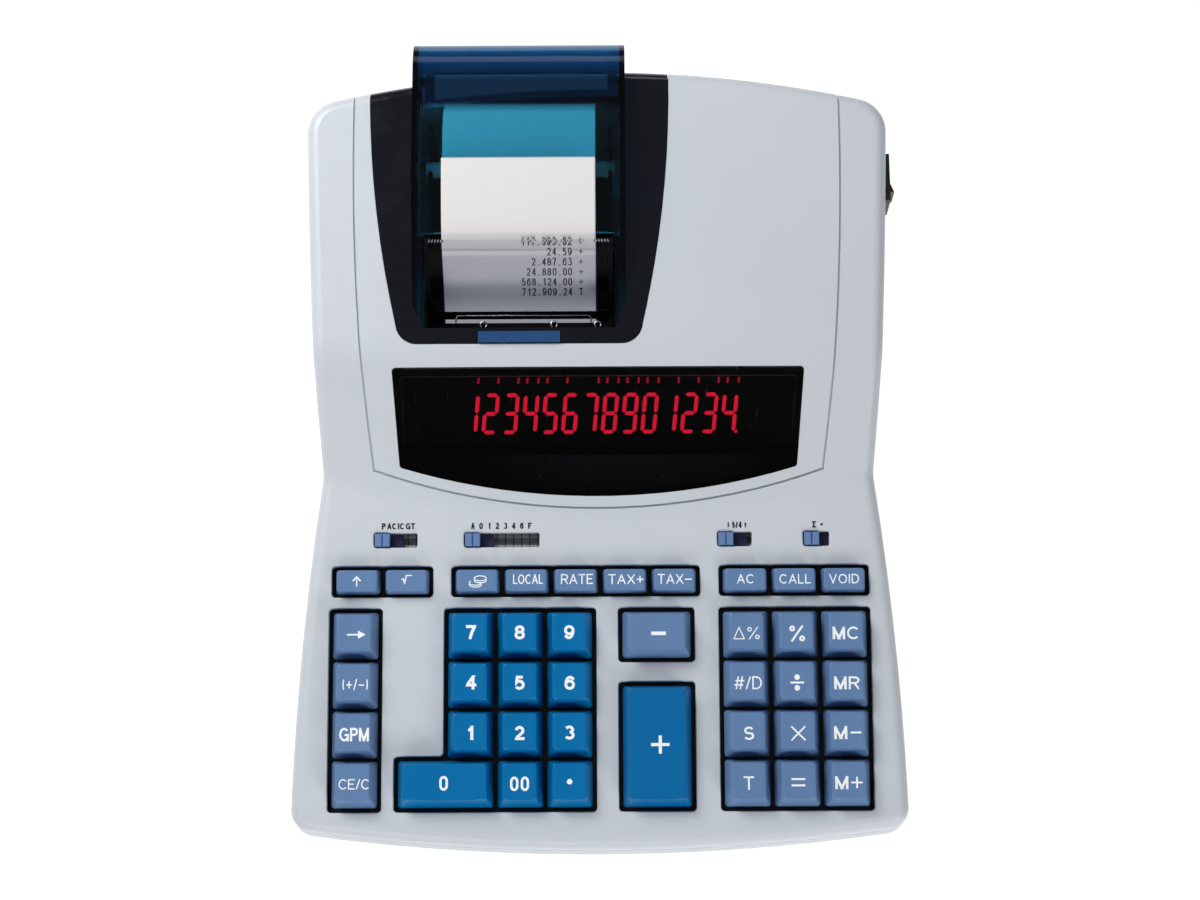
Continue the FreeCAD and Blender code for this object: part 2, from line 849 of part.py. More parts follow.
def posts(prefix, places_, radius, low, high):
    return [upright(f"{prefix}_{number}", radius, x, y, low, high)
            for number, (x, y) in enumerate(places_)]


# Case halves

def window_space(form):
    """The seat of the display window and the hole under it."""
    seat = cut("window_recess", common("window_space", window_block("window_rebate", "0"), form),
               lowered(form, "window_thickness + fit_gap"))
    return fuse("window_opening", seat, window_block("window_hole", "window_ledge"))


def cover_space(form):
    """The recess that the printer cover lies in and the bay under it."""
    block = common("cover_space", form, cover_block("cover_rebate", "cover_gap"),
                   above_skirt("above_rebate", "cover_skirt + cover_gap"))
    recess = cut("cover_recess", block, inner_form("cover_seat", form, "(cover_thickness + fit_gap)"))
    bay = box("bay", ("printer_centre - bay_half", f"{FRONT} + bay_front", "bay_sill"),
              ("printer_centre + bay_half", f"{REAR} + 1", "block_height"))
    return fuse("printer_opening", recess, bay)


def side_holes():
    """Holes for the power switch in the right wall and for the lead in the rear wall."""
    reach = "(cavity_half_length + housing_wall + fit_gap)"
    rise = "(cavity_half_width + housing_wall + fit_gap)"
    y = ROCKER
    switch_hole = box("switch_hole", (HOUSING_END, f"{y} - {reach}", f"rocker_height - {rise}"),
                      ("rear_half_width + overrun", f"{y} + {reach}", f"rocker_height + {rise}"))
    gland_hole = doc.addObject("Part::Cylinder", "gland_hole")
    bind(gland_hole, Radius="gland_radius + fit_gap", Height="4 * overrun")
    place(gland_hole, "gland_offset", f"{REAR} + overrun", "gland_height", angle="90")
    return [switch_hole, gland_hole]


def build_top_case(form):
    shell = cut("top_shell", form, inner_form("case_hollow", form, "wall"))
    bosses = common("top_bosses", lowered(form, "wall / 2"),
                    gather("top_boss_rods", posts("top_boss", BOSSES, "boss_radius",
                                                  "parting_height", "block_height")))
    body = fuse("top_body", shell, bosses, *hinge_ears(form))
    bores = posts("top_bore", BOSSES, "screw_radius", "parting_height", "parting_height + screw_depth")
    seam_ring = cut("seam_ring", seam_block("seam_outer", "0"), seam_block("seam_inner", "seam_width"))
    seam = cut("seam_groove", seam_ring, lowered(form, "seam_depth"))
    openings = on_deck(gather("deck_openings", key_openings() + slot_openings()))
    pierced = cut("top_pierced", body, *bores, seam, openings, window_space(form), cover_space(form),
                  *side_holes())
    doc.recompute()
    to_deck = Placement(Vector(0, value(FRONT), value("deck_height")),
                        Rotation(Vector(1, 0, 0), value("deck_angle"))).inverse()

    def opening_edge(edge):
        points = [to_deck.multVec(vertex.Point) for vertex in edge.Vertexes]
        inside = all(abs(p.x) < value("board_half + overrun / 4") for p in points)
        kept = all(value("key_frame_front") < p.y < value("slot_distance + slot_depth") for p in points)
        return inside and kept and all(abs(p.z) < 1e-4 for p in points)

    node("top_case", rounded("deck_softened", pierced, [(opening_edge, "opening_edge")]))


def hinge_ears(form):
    """Two ears on the rear wall that carry the cover's hinge pins."""
    items = []
    limit = inner_form("ear_limit", form, "wall / 2")
    for sign in ("-", "+"):
        near = f"(printer_centre {sign} (hood_half - cover_thickness - ear_gap - ear_width))"
        far = f"(printer_centre {sign} (hood_half - cover_thickness - ear_gap))"
        low, high = (far, near) if sign == "-" else (near, far)
        eye = rod(f"ear_eye{len(items)}", "ear_radius", low, high, HINGE, "hinge_height")
        arm = box(f"ear_arm{len(items)}", (low, f"{REAR} - overrun", "hinge_height - ear_arm_height / 2"),
                  (high, HINGE, "hinge_height + ear_arm_height / 2"))
        outside = cut(f"ear_outside{len(items)}", arm, limit)
        bore = rod(f"ear_bore{len(items)}", "hinge_pin_radius + hinge_clearance", low, high,
                   HINGE, "hinge_height")
        items.append(cut(f"ear_{len(items)}", fuse(f"ear_solid{len(items)}", eye, outside), bore))
    return items


def build_bottom_case():
    top = "(parting_height - parting_gap)"
    block = plan_block("tray_plan", "foot_height", top)
    doc.recompute()
    body = rounded("tray_rounded", block, [(level_at(value("foot_height")), "bottom_radius")])
    depth = "(wall + fit_gap + lip_thickness)"
    lip_top = "(parting_height + lip_height)"
    lip = cut("tray_lip_notched", plan_block("tray_lip", FLOOR, lip_top, "(wall + fit_gap)"),
              *posts("lip_notch", BOSSES, "boss_radius + 3 * fit_gap", "parting_height", f"{lip_top} + 1"))
    hollow = plan_block("tray_hollow", FLOOR, "block_height", depth)
    shell = cut("tray_shell", fuse("tray_body", body, lip), hollow)
    bosses = posts("tray_boss", BOSSES, "boss_radius", FLOOR, "parting_height")
    solid = fuse("tray_solid", shell, *bosses)
    recesses = posts("tray_recess", BOSSES, "screw_head_radius + fit_gap", "0", SCREW_SEAT)
    holes = posts("tray_hole", BOSSES, "screw_radius", "0", "parting_height + 1")
    drilled = fuse("tray_drills", *recesses, *holes)
    stubs = posts("foot_hole", FEET, "foot_stub_radius", "0", "parting_height")
    vents = []
    for number in range(int(SIZES["vent_count"])):
        y = f"({FRONT} + core_front + {number} * vent_pitch)"
        vents.append(box(f"vent_{number}", ("core_left", y, "0"),
                         ("core_left + vent_length", f"{y} + vent_width", "parting_height / 2")))
    node("bottom_case", cut("tray", solid, drilled, *stubs, *vents))


def build_feet_and_screws():
    items = []
    for number, (x, y) in enumerate(FEET):
        pad = upright(f"foot_pad_{number}", "foot_radius", x, y, "0", "foot_height")
        pad.recompute()
        soft = rounded(f"foot_soft_{number}", pad, [(level_at(0), "foot_height / 3")])
        stub = upright(f"foot_stub_{number}", "foot_stub_radius", x, y, "foot_height / 2", FLOOR)
        items.append(fuse(f"foot_{number}", soft, stub))
    for number, (x, y) in enumerate(BOSSES):
        head = upright(f"screw_head_{number}", "screw_head_radius", x, y,
                       f"{SCREW_SEAT} - screw_head_height", SCREW_SEAT)
        shank = upright(f"screw_shank_{number}", "screw_radius", x, y,
                        f"{SCREW_SEAT} - screw_head_height / 2", "parting_height + screw_depth - 1")
        items.append(fuse(f"screw_{number}", head, shank))
    node("feet_and_screws", gather("feet_and_screws_all", items))


# Under the keys

POST_COLUMNS = ["((left_column + digit_column - key_pitch) / 2)",
                f"(({column('digit_column', 2)} + key_width / 2 + sign_column - sign_key_width / 2) / 2)",
                "((sign_column + sign_key_width / 2 + right_column - key_width / 2) / 2)"]


def frame_posts():
    """Posts between the key blocks, from the frame up to the deck and down to the mat."""
    rows = [f"({grid_row(2)} + key_pitch / 2)", f"({grid_row(1)})"]
    return [(x, row) for x in POST_COLUMNS for row in rows]


def build_key_frame():
    top, bottom = "-key_frame_top", "(-key_frame_top - key_frame_thickness)"
    plate = box("frame_plate", ("-key_frame_half", "key_frame_front", bottom),
                ("key_frame_half", "key_frame_rear", top))
    upper = posts("frame_post", frame_posts(), "post_radius", top, f"-{UNDERSIDE}")
    lower = posts("frame_leg", frame_posts(), "post_radius", "-mat_top", bottom)
    solid = fuse("frame_solid", plate, *upper, *lower)
    drilled = cut("frame_drilled", solid, gather("frame_holes", stem_holes("frame_hole", "stem_clearance")))
    placed = on_deck(gather("frame_placed", [drilled]))
    clear = gather("frame_boss_space", posts("frame_boss", BOSSES, "boss_radius + key_margin",
                                             "0", "block_height"))
    node("key_frame", cut("key_frame_whole", placed, clear))


def build_key_board():
    board = box("board", ("-board_half", "board_front", f"-{BOARD_TOP} - board_thickness"),
                ("board_half", "board_rear", f"-{BOARD_TOP}"))
    mat = box("mat_sheet", ("-board_half + overrun / 4", "board_front", f"-{BOARD_TOP}"),
              ("board_half - overrun / 4", "key_frame_rear", "-mat_top"))
    rims, bores = [], []
    for name, x, along, width, depth in KEYS:
        for number, (dx, dy) in enumerate(stem_places(width, depth)):
            spot = (f"{x} + {dx}", f"{along} + {dy}")
            rims.append(upright(f"dome_{name}_{number}", "dome_radius", *spot,
                                f"-{BOARD_TOP}", "-mat_top + dome_height"))
            bores.append(upright(f"dome_bore_{name}_{number}", "dome_bore_radius", *spot,
                                 "-mat_top", "0"))
    mat_whole = cut("mat", fuse("mat_solid", mat, *rims), gather("dome_bores", bores))
    bodies = []
    for name, slot in SWITCHES:
        half = "switch_body_width / 2"
        body = box(name + "_body", (f"{slot}_left - knob_gap", f"slot_distance - {half}", f"-{BOARD_TOP}"),
                   (f"{slot}_left + {slot}_length + knob_gap", f"slot_distance + {half}", "-switch_body_top"))
        groove = box(name + "_channel",
                     (f"{slot}_left", "slot_distance - slider_width / 2 - stem_clearance",
                      "-slider_bottom - stem_clearance"),
                     (f"{slot}_left + {slot}_length",
                      "slot_distance + slider_width / 2 + stem_clearance", "0"))
        bodies.append(cut(name + "_housing", body, groove))
    node("key_board", on_deck(gather("key_board_all", [board, mat_whole] + bodies)))


def build_slide_knobs():
    half = "knob_width / 2"
    button = box("knob_button", (f"-{half}", "-knob_depth / 2", "-knob_plate_top"),
                 (half, "knob_depth / 2", "knob_height"))
    button.recompute()
    soft = rounded("knob_soft", button, [(level_at(value("knob_height")), "knob_groove / 2")])
    groove = box("knob_mark", ("-knob_groove / 2", "-knob_depth", "knob_height - knob_groove"),
                 ("knob_groove / 2", "knob_depth", "knob_height + 1"))
    plate = box("knob_plate", (f"-{half}", "-knob_depth / 2", "-knob_plate_top - knob_plate_thickness"),
                (f"{half} + knob_tail", "knob_depth / 2", "-knob_plate_top"))
    slider = box("knob_slider", (f"-{half} + knob_gap", "-slider_width / 2", "-slider_bottom"),
                 (f"{half} - knob_gap", "slider_width / 2", "-knob_plate_top"))
    knob = fuse("knob_form", cut("knob_cut", soft, groove), plate, slider)
    for name, slot in SWITCHES:
        knob_place = f"{slot}_left + knob_gap + {half}"
        node(name, on_deck(gather(name + "_knob", [knob]), knob_place, "slot_distance"))


# Display

def build_display(form):
    pane = common("window_pane", window_block("pane", "fit_gap"), form)
    node("display_window", cut("window_whole", pane, lowered(form, "window_thickness")))

    depth, recess = "(shroud_depth / 2)", "(recess_depth / 2)"
    low = "(-display_drop - shroud_height)"
    outer = box("shroud_outer", ("-shroud_half", f"-{depth}", low), ("shroud_half", depth, "-display_drop"))
    inner = box("shroud_inner", ("-recess_half", f"-{recess}", f"{low} - 1"), ("recess_half", recess, "0"))
    shroud = cut("shroud", outer, inner)
    tube = box("tube", ("-shroud_half + wall", f"-{depth} + wall / 2", f"{low} - tube_thickness"),
               ("shroud_half - wall", f"{depth} - wall / 2", low))
    board_low = f"({low} - tube_thickness - board_thickness)"
    board = box("display_board", ("-shroud_half", f"-{depth}", board_low),
                ("shroud_half", depth, f"{low} - tube_thickness"))
    tilt = dict(x="0", y=f"{FRONT} + display_distance", z="display_height", angle="display_angle")
    stack = place(gather("display_stack", [shroud, tube]), **tilt)
    carrier = place(gather("display_carrier", [board]), **tilt)
    leg_top = f"(display_height + {board_low} * cos(display_angle) + board_thickness / 2)"
    leg_y = f"({FRONT} + display_distance - {board_low} * sin(display_angle))"
    legs = [box(f"display_leg_{number}", (f"{x} - leg_width / 2", f"{leg_y} - leg_width / 2", FLOOR),
                (f"{x} + leg_width / 2", f"{leg_y} + leg_width / 2", leg_top))
            for number, x in enumerate(("(-display_leg)", "display_leg"))]
    above = box("above_board", ("-shroud_half * 2", "-shroud_half", board_low),
                ("shroud_half * 2", "shroud_half", "block_height"))
    above_display = place(gather("above_display", [above]), **tilt)
    stand = cut("display_stand", gather("display_legs", legs), above_display)
    node("display_module", gather("display_all", [stack, fuse("board_and_legs", carrier, stand)]))


# Printer cover

HOOD_BACK = f"({FRONT} + case_length + hood_overhang)"
CROWN = f"({FRONT} + crown_distance)"
BROW_ANGLE = "asin((crown_distance - brow_distance) / crown_radius)"


def hood_top(inset):
    """The hood's side profile from the back over the top to the brow, drawn in by the inset."""
    radius = f"(crown_radius - {inset})"
    top = f"(hood_height - {inset})"
    back, bend = f"({HOOD_BACK} - {inset})", f"(hood_rear_radius - {inset})"
    brow = (f"({CROWN} - {radius} * sin({BROW_ANGLE}))",
            f"(hood_height - crown_radius + {radius} * cos({BROW_ANGLE}))")
    corners = [(back, "(hood_height - hood_rear_radius)"), (f"({back} - {bend})", top),
               (CROWN, top), brow]
    return corners, [bend, None, radius, None]


def hood_block(name, half, inset, before, after):
    """The raised arch over the paper: corners before its top, the top, and corners after it."""
    top, curves = hood_top(inset)
    curves = [None] * len(before) + curves + [None] * len(after)
    profile = outline(name + "_outline", before + top + after, curves, upright_plane=True)
    place(profile, x=f"printer_centre - ({half})")
    return extrude(name, profile, Vector(1, 0, 0), f"2 * ({half})")


def build_cover(form):
    underside = inner_form("cover_underside", form, "cover_thickness")
    block = common("cover_raw", form, cover_block("cover_plan", "0"),
                   above_skirt("cover_above_skirt", "cover_skirt"))
    wings = cut("cover_wings", block, underside)
    start = f"({FRONT} + exit_front)"
    brow_y, brow_z = hood_top("0")[0][3]
    slope = [(start, f"({brow_z} - ({brow_y} - {start}) * tan({BROW_ANGLE}))")]
    foot = [(start, "bay_sill"), (f"({REAR} - overrun)", "(bay_sill + rim_radius)"),
            (HINGE, "hood_bottom_height"), (HOOD_BACK, "hood_bottom_height")]
    arch = hood_block("hood_outer", "hood_half", "0", foot, slope)
    wall_space = cut("hood_wall_space", plan_block("hood_wall_plan", "0", "block_height", "(-cover_gap)"),
                     above_skirt("hood_above_skirt", "cover_skirt"))
    hood = cut("hood", arch, underside, wall_space)
    tab_block = box("tab_block", ("printer_centre - tab_half", f"{FRONT} + cover_distance", "parting_height"),
                    ("printer_centre + tab_half", f"{FRONT} + cover_distance + tab_depth", "block_height"))
    tab = cut("cover_tab", common("tab_raw", tab_block, lowered(form, "-tab_rise")),
              lowered(form, "cover_thickness / 2"))
    solid = fuse("cover_solid", wings, hood, tab)
    below = "(hood_bottom_height - 1)"
    ahead = f"({FRONT} + brow_distance - cover_thickness / 2)"
    inner = [(ahead, below), (f"({HOOD_BACK} - cover_thickness)", below)]
    hollow = hood_block("hood_inner", "hood_half - cover_thickness", "cover_thickness", inner,
                        [(ahead, hood_top("cover_thickness")[0][3][1])])
    slot = box("exit_slot", ("printer_centre - exit_half", start, "bay_sill / 2"),
               ("printer_centre + exit_half", f"{FRONT} + brow_distance", "block_height"))
    shell = cut("cover_shell", solid, hollow, slot)
    pins = []
    for sign in ("-", "+"):
        wall = f"(printer_centre {sign} (hood_half - cover_thickness / 2))"
        tip = f"(printer_centre {sign} (hood_half - cover_thickness - ear_gap - ear_width))"
        low, high = (wall, tip) if sign == "-" else (tip, wall)
        pins.append(rod(f"cover_pin_{len(pins)}", "hinge_pin_radius", low, high, HINGE, "hinge_height"))
    node("printer_cover", fuse("cover_whole", shell, *pins))


# Printer

def side_x(sign, distance):
    return f"(printer_centre {sign} ({distance}))"


def build_printer_frame():
    base_top = "(frame_base_height + plate_thickness)"
    roll_top = "(roll_height + 2 * spindle_radius)"
    corners = [
        (f"({FRONT} + frame_front)", "frame_base_height"),
        (f"({FRONT} + frame_rear)", "frame_base_height"),
        (f"({FRONT} + frame_rear)", roll_top),
        (f"({ROLL} - 4 * spindle_radius)", roll_top),
        (f"({ROLL} - 4 * spindle_radius)", "(platen_height + platen_radius)"),
        (f"({PLATEN} + 3 * platen_radius)", "(platen_height + platen_radius)"),
        (exit_y("arm_reach", "arm_inner"), exit_z("arm_reach", "arm_inner")),
        (exit_y("arm_reach", "arm_outer"), exit_z("arm_reach", "arm_outer")),
        (exit_y("tear_bottom / 2", "arm_outer"), exit_z("tear_bottom / 2", "arm_outer")),
        (f"({FRONT} + frame_front)", "head_top_height"),
    ]
    plates = []
    for sign in ("-", "+"):
        profile = outline(f"plate_outline{len(plates)}", corners, [None] * len(corners), upright_plane=True)
        offset = "frame_half" if sign == "-" else "frame_half - plate_thickness"
        place(profile, x=side_x(sign, offset))
        plates.append(extrude(f"side_plate{len(plates)}", profile, Vector(1, 0, 0), "plate_thickness"))
    base = box("frame_base", (side_x("-", "frame_half"), f"{FRONT} + frame_front", "frame_base_height"),
               (side_x("+", "frame_half"), f"{FRONT} + frame_rear", base_top))
    legs = posts("frame_foot",
                 [(side_x(sign, "frame_half - 2 * frame_leg_radius"), f"({FRONT} + {place_})")
                  for sign in ("-", "+")
                  for place_ in ("frame_front + 2 * frame_leg_radius", "frame_rear - 2 * frame_leg_radius")],
                 "frame_leg_radius", FLOOR, base_top)
    solid = fuse("frame_metal", base, *plates, *legs)
    across = (side_x("-", "frame_half + 1"), side_x("+", "frame_half + 1"))
    holes = [
        rod("spindle_seat", "spindle_radius + shaft_clearance", *across, ROLL, "roll_height"),
        box("spindle_slot", (across[0], f"{ROLL} - spindle_radius - shaft_clearance", "roll_height"),
            (across[1], f"{ROLL} + spindle_radius + shaft_clearance", f"{roll_top} + 1")),
        rod("platen_hole", "platen_shaft_radius + shaft_clearance", *across, PLATEN, "platen_height"),
        rod("ink_hole", "ink_shaft_radius + shaft_clearance", *across, INK, "ink_height"),
    ]
    metal = cut("frame_body", solid, fuse("frame_bores", *holes))
    inner = "frame_half - plate_thickness"
    head = box("head_bar", (side_x("-", inner), f"{FRONT} + head_distance", "head_top_height - head_height"),
               (side_x("+", inner), f"{FRONT} + head_distance + head_depth", "head_top_height"))
    carriage = box("carriage", (side_x("-", "carriage_half"), f"{FRONT} + head_distance",
                                "ink_height + ink_radius + fit_gap * 5"),
                   (side_x("+", "carriage_half"), f"{FRONT} + head_distance + head_depth",
                    "head_top_height - head_height"))
    motor = rod("motor", "motor_radius", side_x("+", "frame_half"), side_x("+", "frame_half + motor_length"),
                f"{FRONT} + motor_distance", "motor_height")
    node("printer_frame", gather("printer_frame_all", [metal, head, carriage, motor]))


def gear_shape(teeth, outer, root, width):
    """A toothed wheel along X with straight-sided teeth."""
    points = []
    for number in range(teeth):
        for step, radius in ((0, root), (0.25, outer), (0.5, outer), (0.75, root)):
            turn = 2 * math.pi * (number + step) / teeth
            points.append(Vector(0, radius * math.cos(turn), radius * math.sin(turn)))
    face = Part.Face(Part.makePolygon(points + points[:1]))
    return face.extrude(Vector(width, 0, 0))


def build_rollers():
    rubber = rod("platen_rubber", "platen_radius", side_x("-", "platen_half"), side_x("+", "platen_half"),
                 PLATEN, "platen_height")
    shaft = rod("platen_shaft", "platen_shaft_radius", side_x("-", "spindle_half"),
                side_x("+", "platen_shaft_half"), PLATEN, "platen_height")
    wheel = doc.addObject("Part::Feature", "platen_gear")
    tooth = (value("platen_gear_radius") - value("platen_shaft_radius")) / 3
    wheel.Shape = gear_shape(int(SIZES["platen_gear_teeth"]), value("platen_gear_radius"),
                             value("platen_gear_radius") - tooth, value("platen_gear_width"))
    place(wheel, side_x("+", "platen_shaft_half - platen_gear_width"), PLATEN, "platen_height")
    node("platen_roller", fuse("platen_whole", rubber, shaft, wheel))

    pad = rod("ink_pad", "ink_radius", side_x("-", "ink_half"), side_x("+", "ink_half"), INK, "ink_height")
    axle = rod("ink_axle", "ink_shaft_radius", side_x("-", "ink_shaft_half"),
               side_x("+", "ink_shaft_half"), INK, "ink_height")
    node("ink_roller", fuse("ink_whole", pad, axle))

    half = "roll_width / 2"
    paper = cut("roll_paper",
                rod("roll_outer", "roll_radius", side_x("-", half), side_x("+", half), ROLL, "roll_height"),
                rod("roll_bore", "core_radius", side_x("-", half), side_x("+", half), ROLL, "roll_height"))
    core = fuse("roll_core",
                rod("core_tube", "core_radius", side_x("-", half), side_x("+", half), ROLL, "roll_height"),
                rod("spindle", "spindle_radius", side_x("-", "spindle_half"), side_x("+", "spindle_half"),
                    ROLL, "roll_height"))
    node("paper_roll", gather("paper_roll_all", [paper, core]))


def paper_path():
    """Centre line of the paper: off the roll's underside, round the platen, up and over the hood."""
    gap = value("paper_clearance + paper_thickness / 2")
    roll = Vector(0, value(ROLL), value("roll_height"))
    platen = Vector(0, value(PLATEN), value("platen_height"))
    roll_reach, platen_reach = value("roll_radius") + gap, value("platen_radius") + gap
    across = platen - roll
    along = across * (1 / across.Length)
    down = Vector(0, -along.z, along.y)
    if down.z > 0:
        down = down * -1
    lean = math.acos((roll_reach - platen_reach) / across.Length)
    normal = along * math.cos(lean) + down * math.sin(lean)
    off_roll, on_platen = roll + normal * roll_reach, platen + normal * platen_reach
    slope = math.radians(value("exit_angle"))
    rising = Vector(0, math.cos(slope), math.sin(slope))
    outward = Vector(0, -math.sin(slope), math.cos(slope))
    off_platen = platen + outward * platen_reach
    halfway = (normal + outward) * 0.5
    round_platen = platen + halfway * (platen_reach / halfway.Length)
    crown = Vector(0, value(f"{FRONT} + crown_distance"), value("hood_height - crown_radius"))
    crown_reach = value("crown_radius + strip_lift")
    bend = value("strip_bend_radius")
    base = off_platen - outward * bend - crown
    half_b, c = base.dot(rising), base.dot(base) - (crown_reach - bend) ** 2
    run = -half_b + math.sqrt(half_b ** 2 - c)
    run_other = -half_b - math.sqrt(half_b ** 2 - c)
    run = min(length for length in (run, run_other) if length > 0)
    bend_start = off_platen + rising * run
    bend_centre = bend_start - outward * bend
    from_crown = bend_centre - crown
    from_crown = from_crown * (1 / from_crown.Length)
    on_crown = crown + from_crown * crown_reach
    middle = (outward + from_crown) * 0.5
    bend_middle = bend_centre + middle * (bend / middle.Length)
    end_y = value(f"{FRONT} + strip_end_distance")
    end = Vector(0, end_y, crown.z + math.sqrt(crown_reach ** 2 - (end_y - crown.y) ** 2))
    last = (on_crown - crown) + (end - crown)
    crown_middle = crown + last * (crown_reach / last.Length)
    return Part.Wire([
        Part.LineSegment(off_roll, on_platen).toShape(),
        Part.Arc(on_platen, round_platen, off_platen).toShape(),
        Part.LineSegment(off_platen, bend_start).toShape(),
        Part.Arc(bend_start, bend_middle, on_crown).toShape(),
        Part.Arc(on_crown, crown_middle, end).toShape(),
    ])


def build_paper_strip():
    path = paper_path()
    start = path.OrderedEdges[0].valueAt(path.OrderedEdges[0].FirstParameter)
    end = path.OrderedEdges[0].valueAt(path.OrderedEdges[0].LastParameter)
    along = (end - start).normalize()
    normal = Vector(0, -along.z, along.y)
    half, thin = value("roll_width / 2"), value("paper_thickness / 2")
    corners = [start + Vector(side * half, 0, 0) + normal * (up * thin)
               for side, up in ((-1, -1), (1, -1), (1, 1), (-1, 1))]
    section = Part.makePolygon(corners + corners[:1])
    strip = doc.addObject("Part::Feature", "strip")
    strip.Shape = path.makePipeShell([section], True, True)
    place(strip, "printer_centre")
    node("paper_strip", strip)


def build_tear_bar():
    half, low, high = value("tear_half"), value("tear_bottom"), value("tear_top")
    count = int(SIZES["tooth_count"])
    pitch = 2 * half / count
    points = [Vector(-half, low, 0), Vector(half, low, 0)]
    for number in range(count):
        right = half - number * pitch
        points += [Vector(right, high - value("tooth_height"), 0), Vector(right - pitch / 2, high, 0)]
    points += [Vector(-half, high - value("tooth_height"), 0), Vector(-half, low, 0)]
    bar = doc.addObject("Part::Feature", "tear_plate")
    bar.Shape = Part.Face(Part.makePolygon(points)).extrude(Vector(0, 0, value("tear_thickness")))
    place(bar, "printer_centre", exit_y("0", "tear_offset"), exit_z("0", "tear_offset"), angle="exit_angle")
    node("tear_bar", bar)


# Power

def build_power_unit(form):
    y = ROCKER
    long_half, wide_half = "(cavity_half_length + housing_wall)", "(cavity_half_width + housing_wall)"
    case_side = "(rear_half_width + bezel_thickness)"
    body = box("housing_body", (HOUSING_END, f"{y} - {long_half}", f"rocker_height - {wide_half}"),
               (case_side, f"{y} + {long_half}", f"rocker_height + {wide_half}"))
    plate = box("bezel_plate",
                ("rear_half_width - 2 * bezel_thickness", f"{y} - {long_half} - bezel_overlap",
                 f"rocker_height - {wide_half} - bezel_overlap"),
                (case_side, f"{y} + {long_half} + bezel_overlap",
                 f"rocker_height + {wide_half} + bezel_overlap"))
    rim = cut("bezel_outside", plate, form)
    cavity = box("switch_cavity", (f"{HOUSING_END} + housing_wall", f"{y} - cavity_half_length",
                                   "rocker_height - cavity_half_width"),
                 (f"{case_side} + 1", f"{y} + cavity_half_length", "rocker_height + cavity_half_width"))
    pivot = upright("pivot_hole", "rocker_pin_radius + shaft_clearance", PIVOT, y,
                    f"rocker_height - {wide_half}", f"rocker_height + {wide_half}")
    housing = cut("switch_housing", fuse("housing_solid", body, rim), cavity, pivot)

    front = f"({FRONT} + core_front)"
    middle = "(core_left + core_length / 2)"
    core = box("transformer_core", ("core_left", front, FLOOR),
               ("core_left + core_length", f"{front} + core_width", f"{FLOOR} + core_height"))
    bobbin = box("bobbin", (f"{middle} - bobbin_length / 2", f"{front} - bobbin_overhang",
                            f"{FLOOR} + core_height / 5"),
                 (f"{middle} + bobbin_length / 2", f"{front} + core_width + bobbin_overhang",
                  f"{FLOOR} + core_height * 4 / 5"))
    transformer = fuse("transformer", core, bobbin)

    # the rear wall's distance ahead of its middle, where the lead comes through
    wall_y = f"({REAR} - rear_radius + sqrt(rear_radius^2 - gland_offset^2))"
    stem = doc.addObject("Part::Cylinder", "gland_stem")
    bind(stem, Radius="gland_radius", Height="gland_inner_length + gland_flange")
    place(stem, "gland_offset", f"{wall_y} + gland_flange", "gland_height", angle="90")
    flange = doc.addObject("Part::Cylinder", "gland_flange_disc")
    bind(flange, Radius="gland_flange_radius", Height="2 * gland_flange")
    place(flange, "gland_offset", f"{wall_y} + gland_flange", "gland_height", angle="90")
    bore = doc.addObject("Part::Cylinder", "gland_bore")
    bind(bore, Radius="gland_bore_radius", Height="4 * overrun")
    place(bore, "gland_offset", f"{REAR} + overrun", "gland_height", angle="90")
    gland = cut("gland", fuse("gland_solid", stem, cut("gland_outside", flange, form)), bore)
    node("power_unit", gather("power_unit_all", [housing, transformer, gland]))


def build_rocker():
    face, end = "rocker_face", "rocker_half_length"
    raised = f"({face} + {end} * tan(rocker_angle))"
    corners = [("-rocker_root", "-rocker_root_half"), (raised, f"-{end}"), (face, "0"),
               (raised, end), ("-rocker_root", "rocker_root_half")]
    profile = outline("rocker_outline", corners, [None] * 5)
    place(profile, z="-rocker_half_width")
    cap = extrude("rocker_cap", profile, Vector(0, 0, 1), "2 * rocker_half_width")
    pin_half = "(cavity_half_width + housing_wall * 0.8)"
    pin = upright("rocker_pin", "rocker_pin_radius", "0", "0", f"-{pin_half}", pin_half)
    whole = fuse("rocker_whole", cap, pin)
    place(whole, PIVOT, ROCKER, "rocker_height",
          angle="rocker_angle", axis=Vector(0, 0, 1))
    node("power_rocker", whole)


def check_and_export():
    doc.recompute()
    for item in doc.Objects:
        if "Invalid" in item.State or "Error" in item.State:
            raise RuntimeError(f"{item.Name} failed: {item.State}")
    os.makedirs("parts", exist_ok=True)
    for name, item in NODES.items():
        shape = item.Shape
        if shape.isNull() or not shape.isValid() or not shape.Solids:
            raise RuntimeError(f"{name} has no sound solid")
        shape.exportStep(f"parts/{name}.step")
        print(f"{name}: {len(shape.Solids)} solids, {shape.Volume / 1000:.2f} cm3")


FORM = case_form()
build_bottom_case()
build_top_case(FORM)
build_feet_and_screws()
build_key_frame()
build_key_board()
build_keys()
build_slide_knobs()
build_display(FORM)
build_cover(FORM)
build_printer_frame()
build_rollers()
build_paper_strip()
build_tear_bar()
build_power_unit(FORM)
build_rocker()
check_and_export()
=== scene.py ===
import json
import math

import bmesh
import bpy
from mathutils import Matrix, Vector
from mathutils.bvhtree import BVHTree


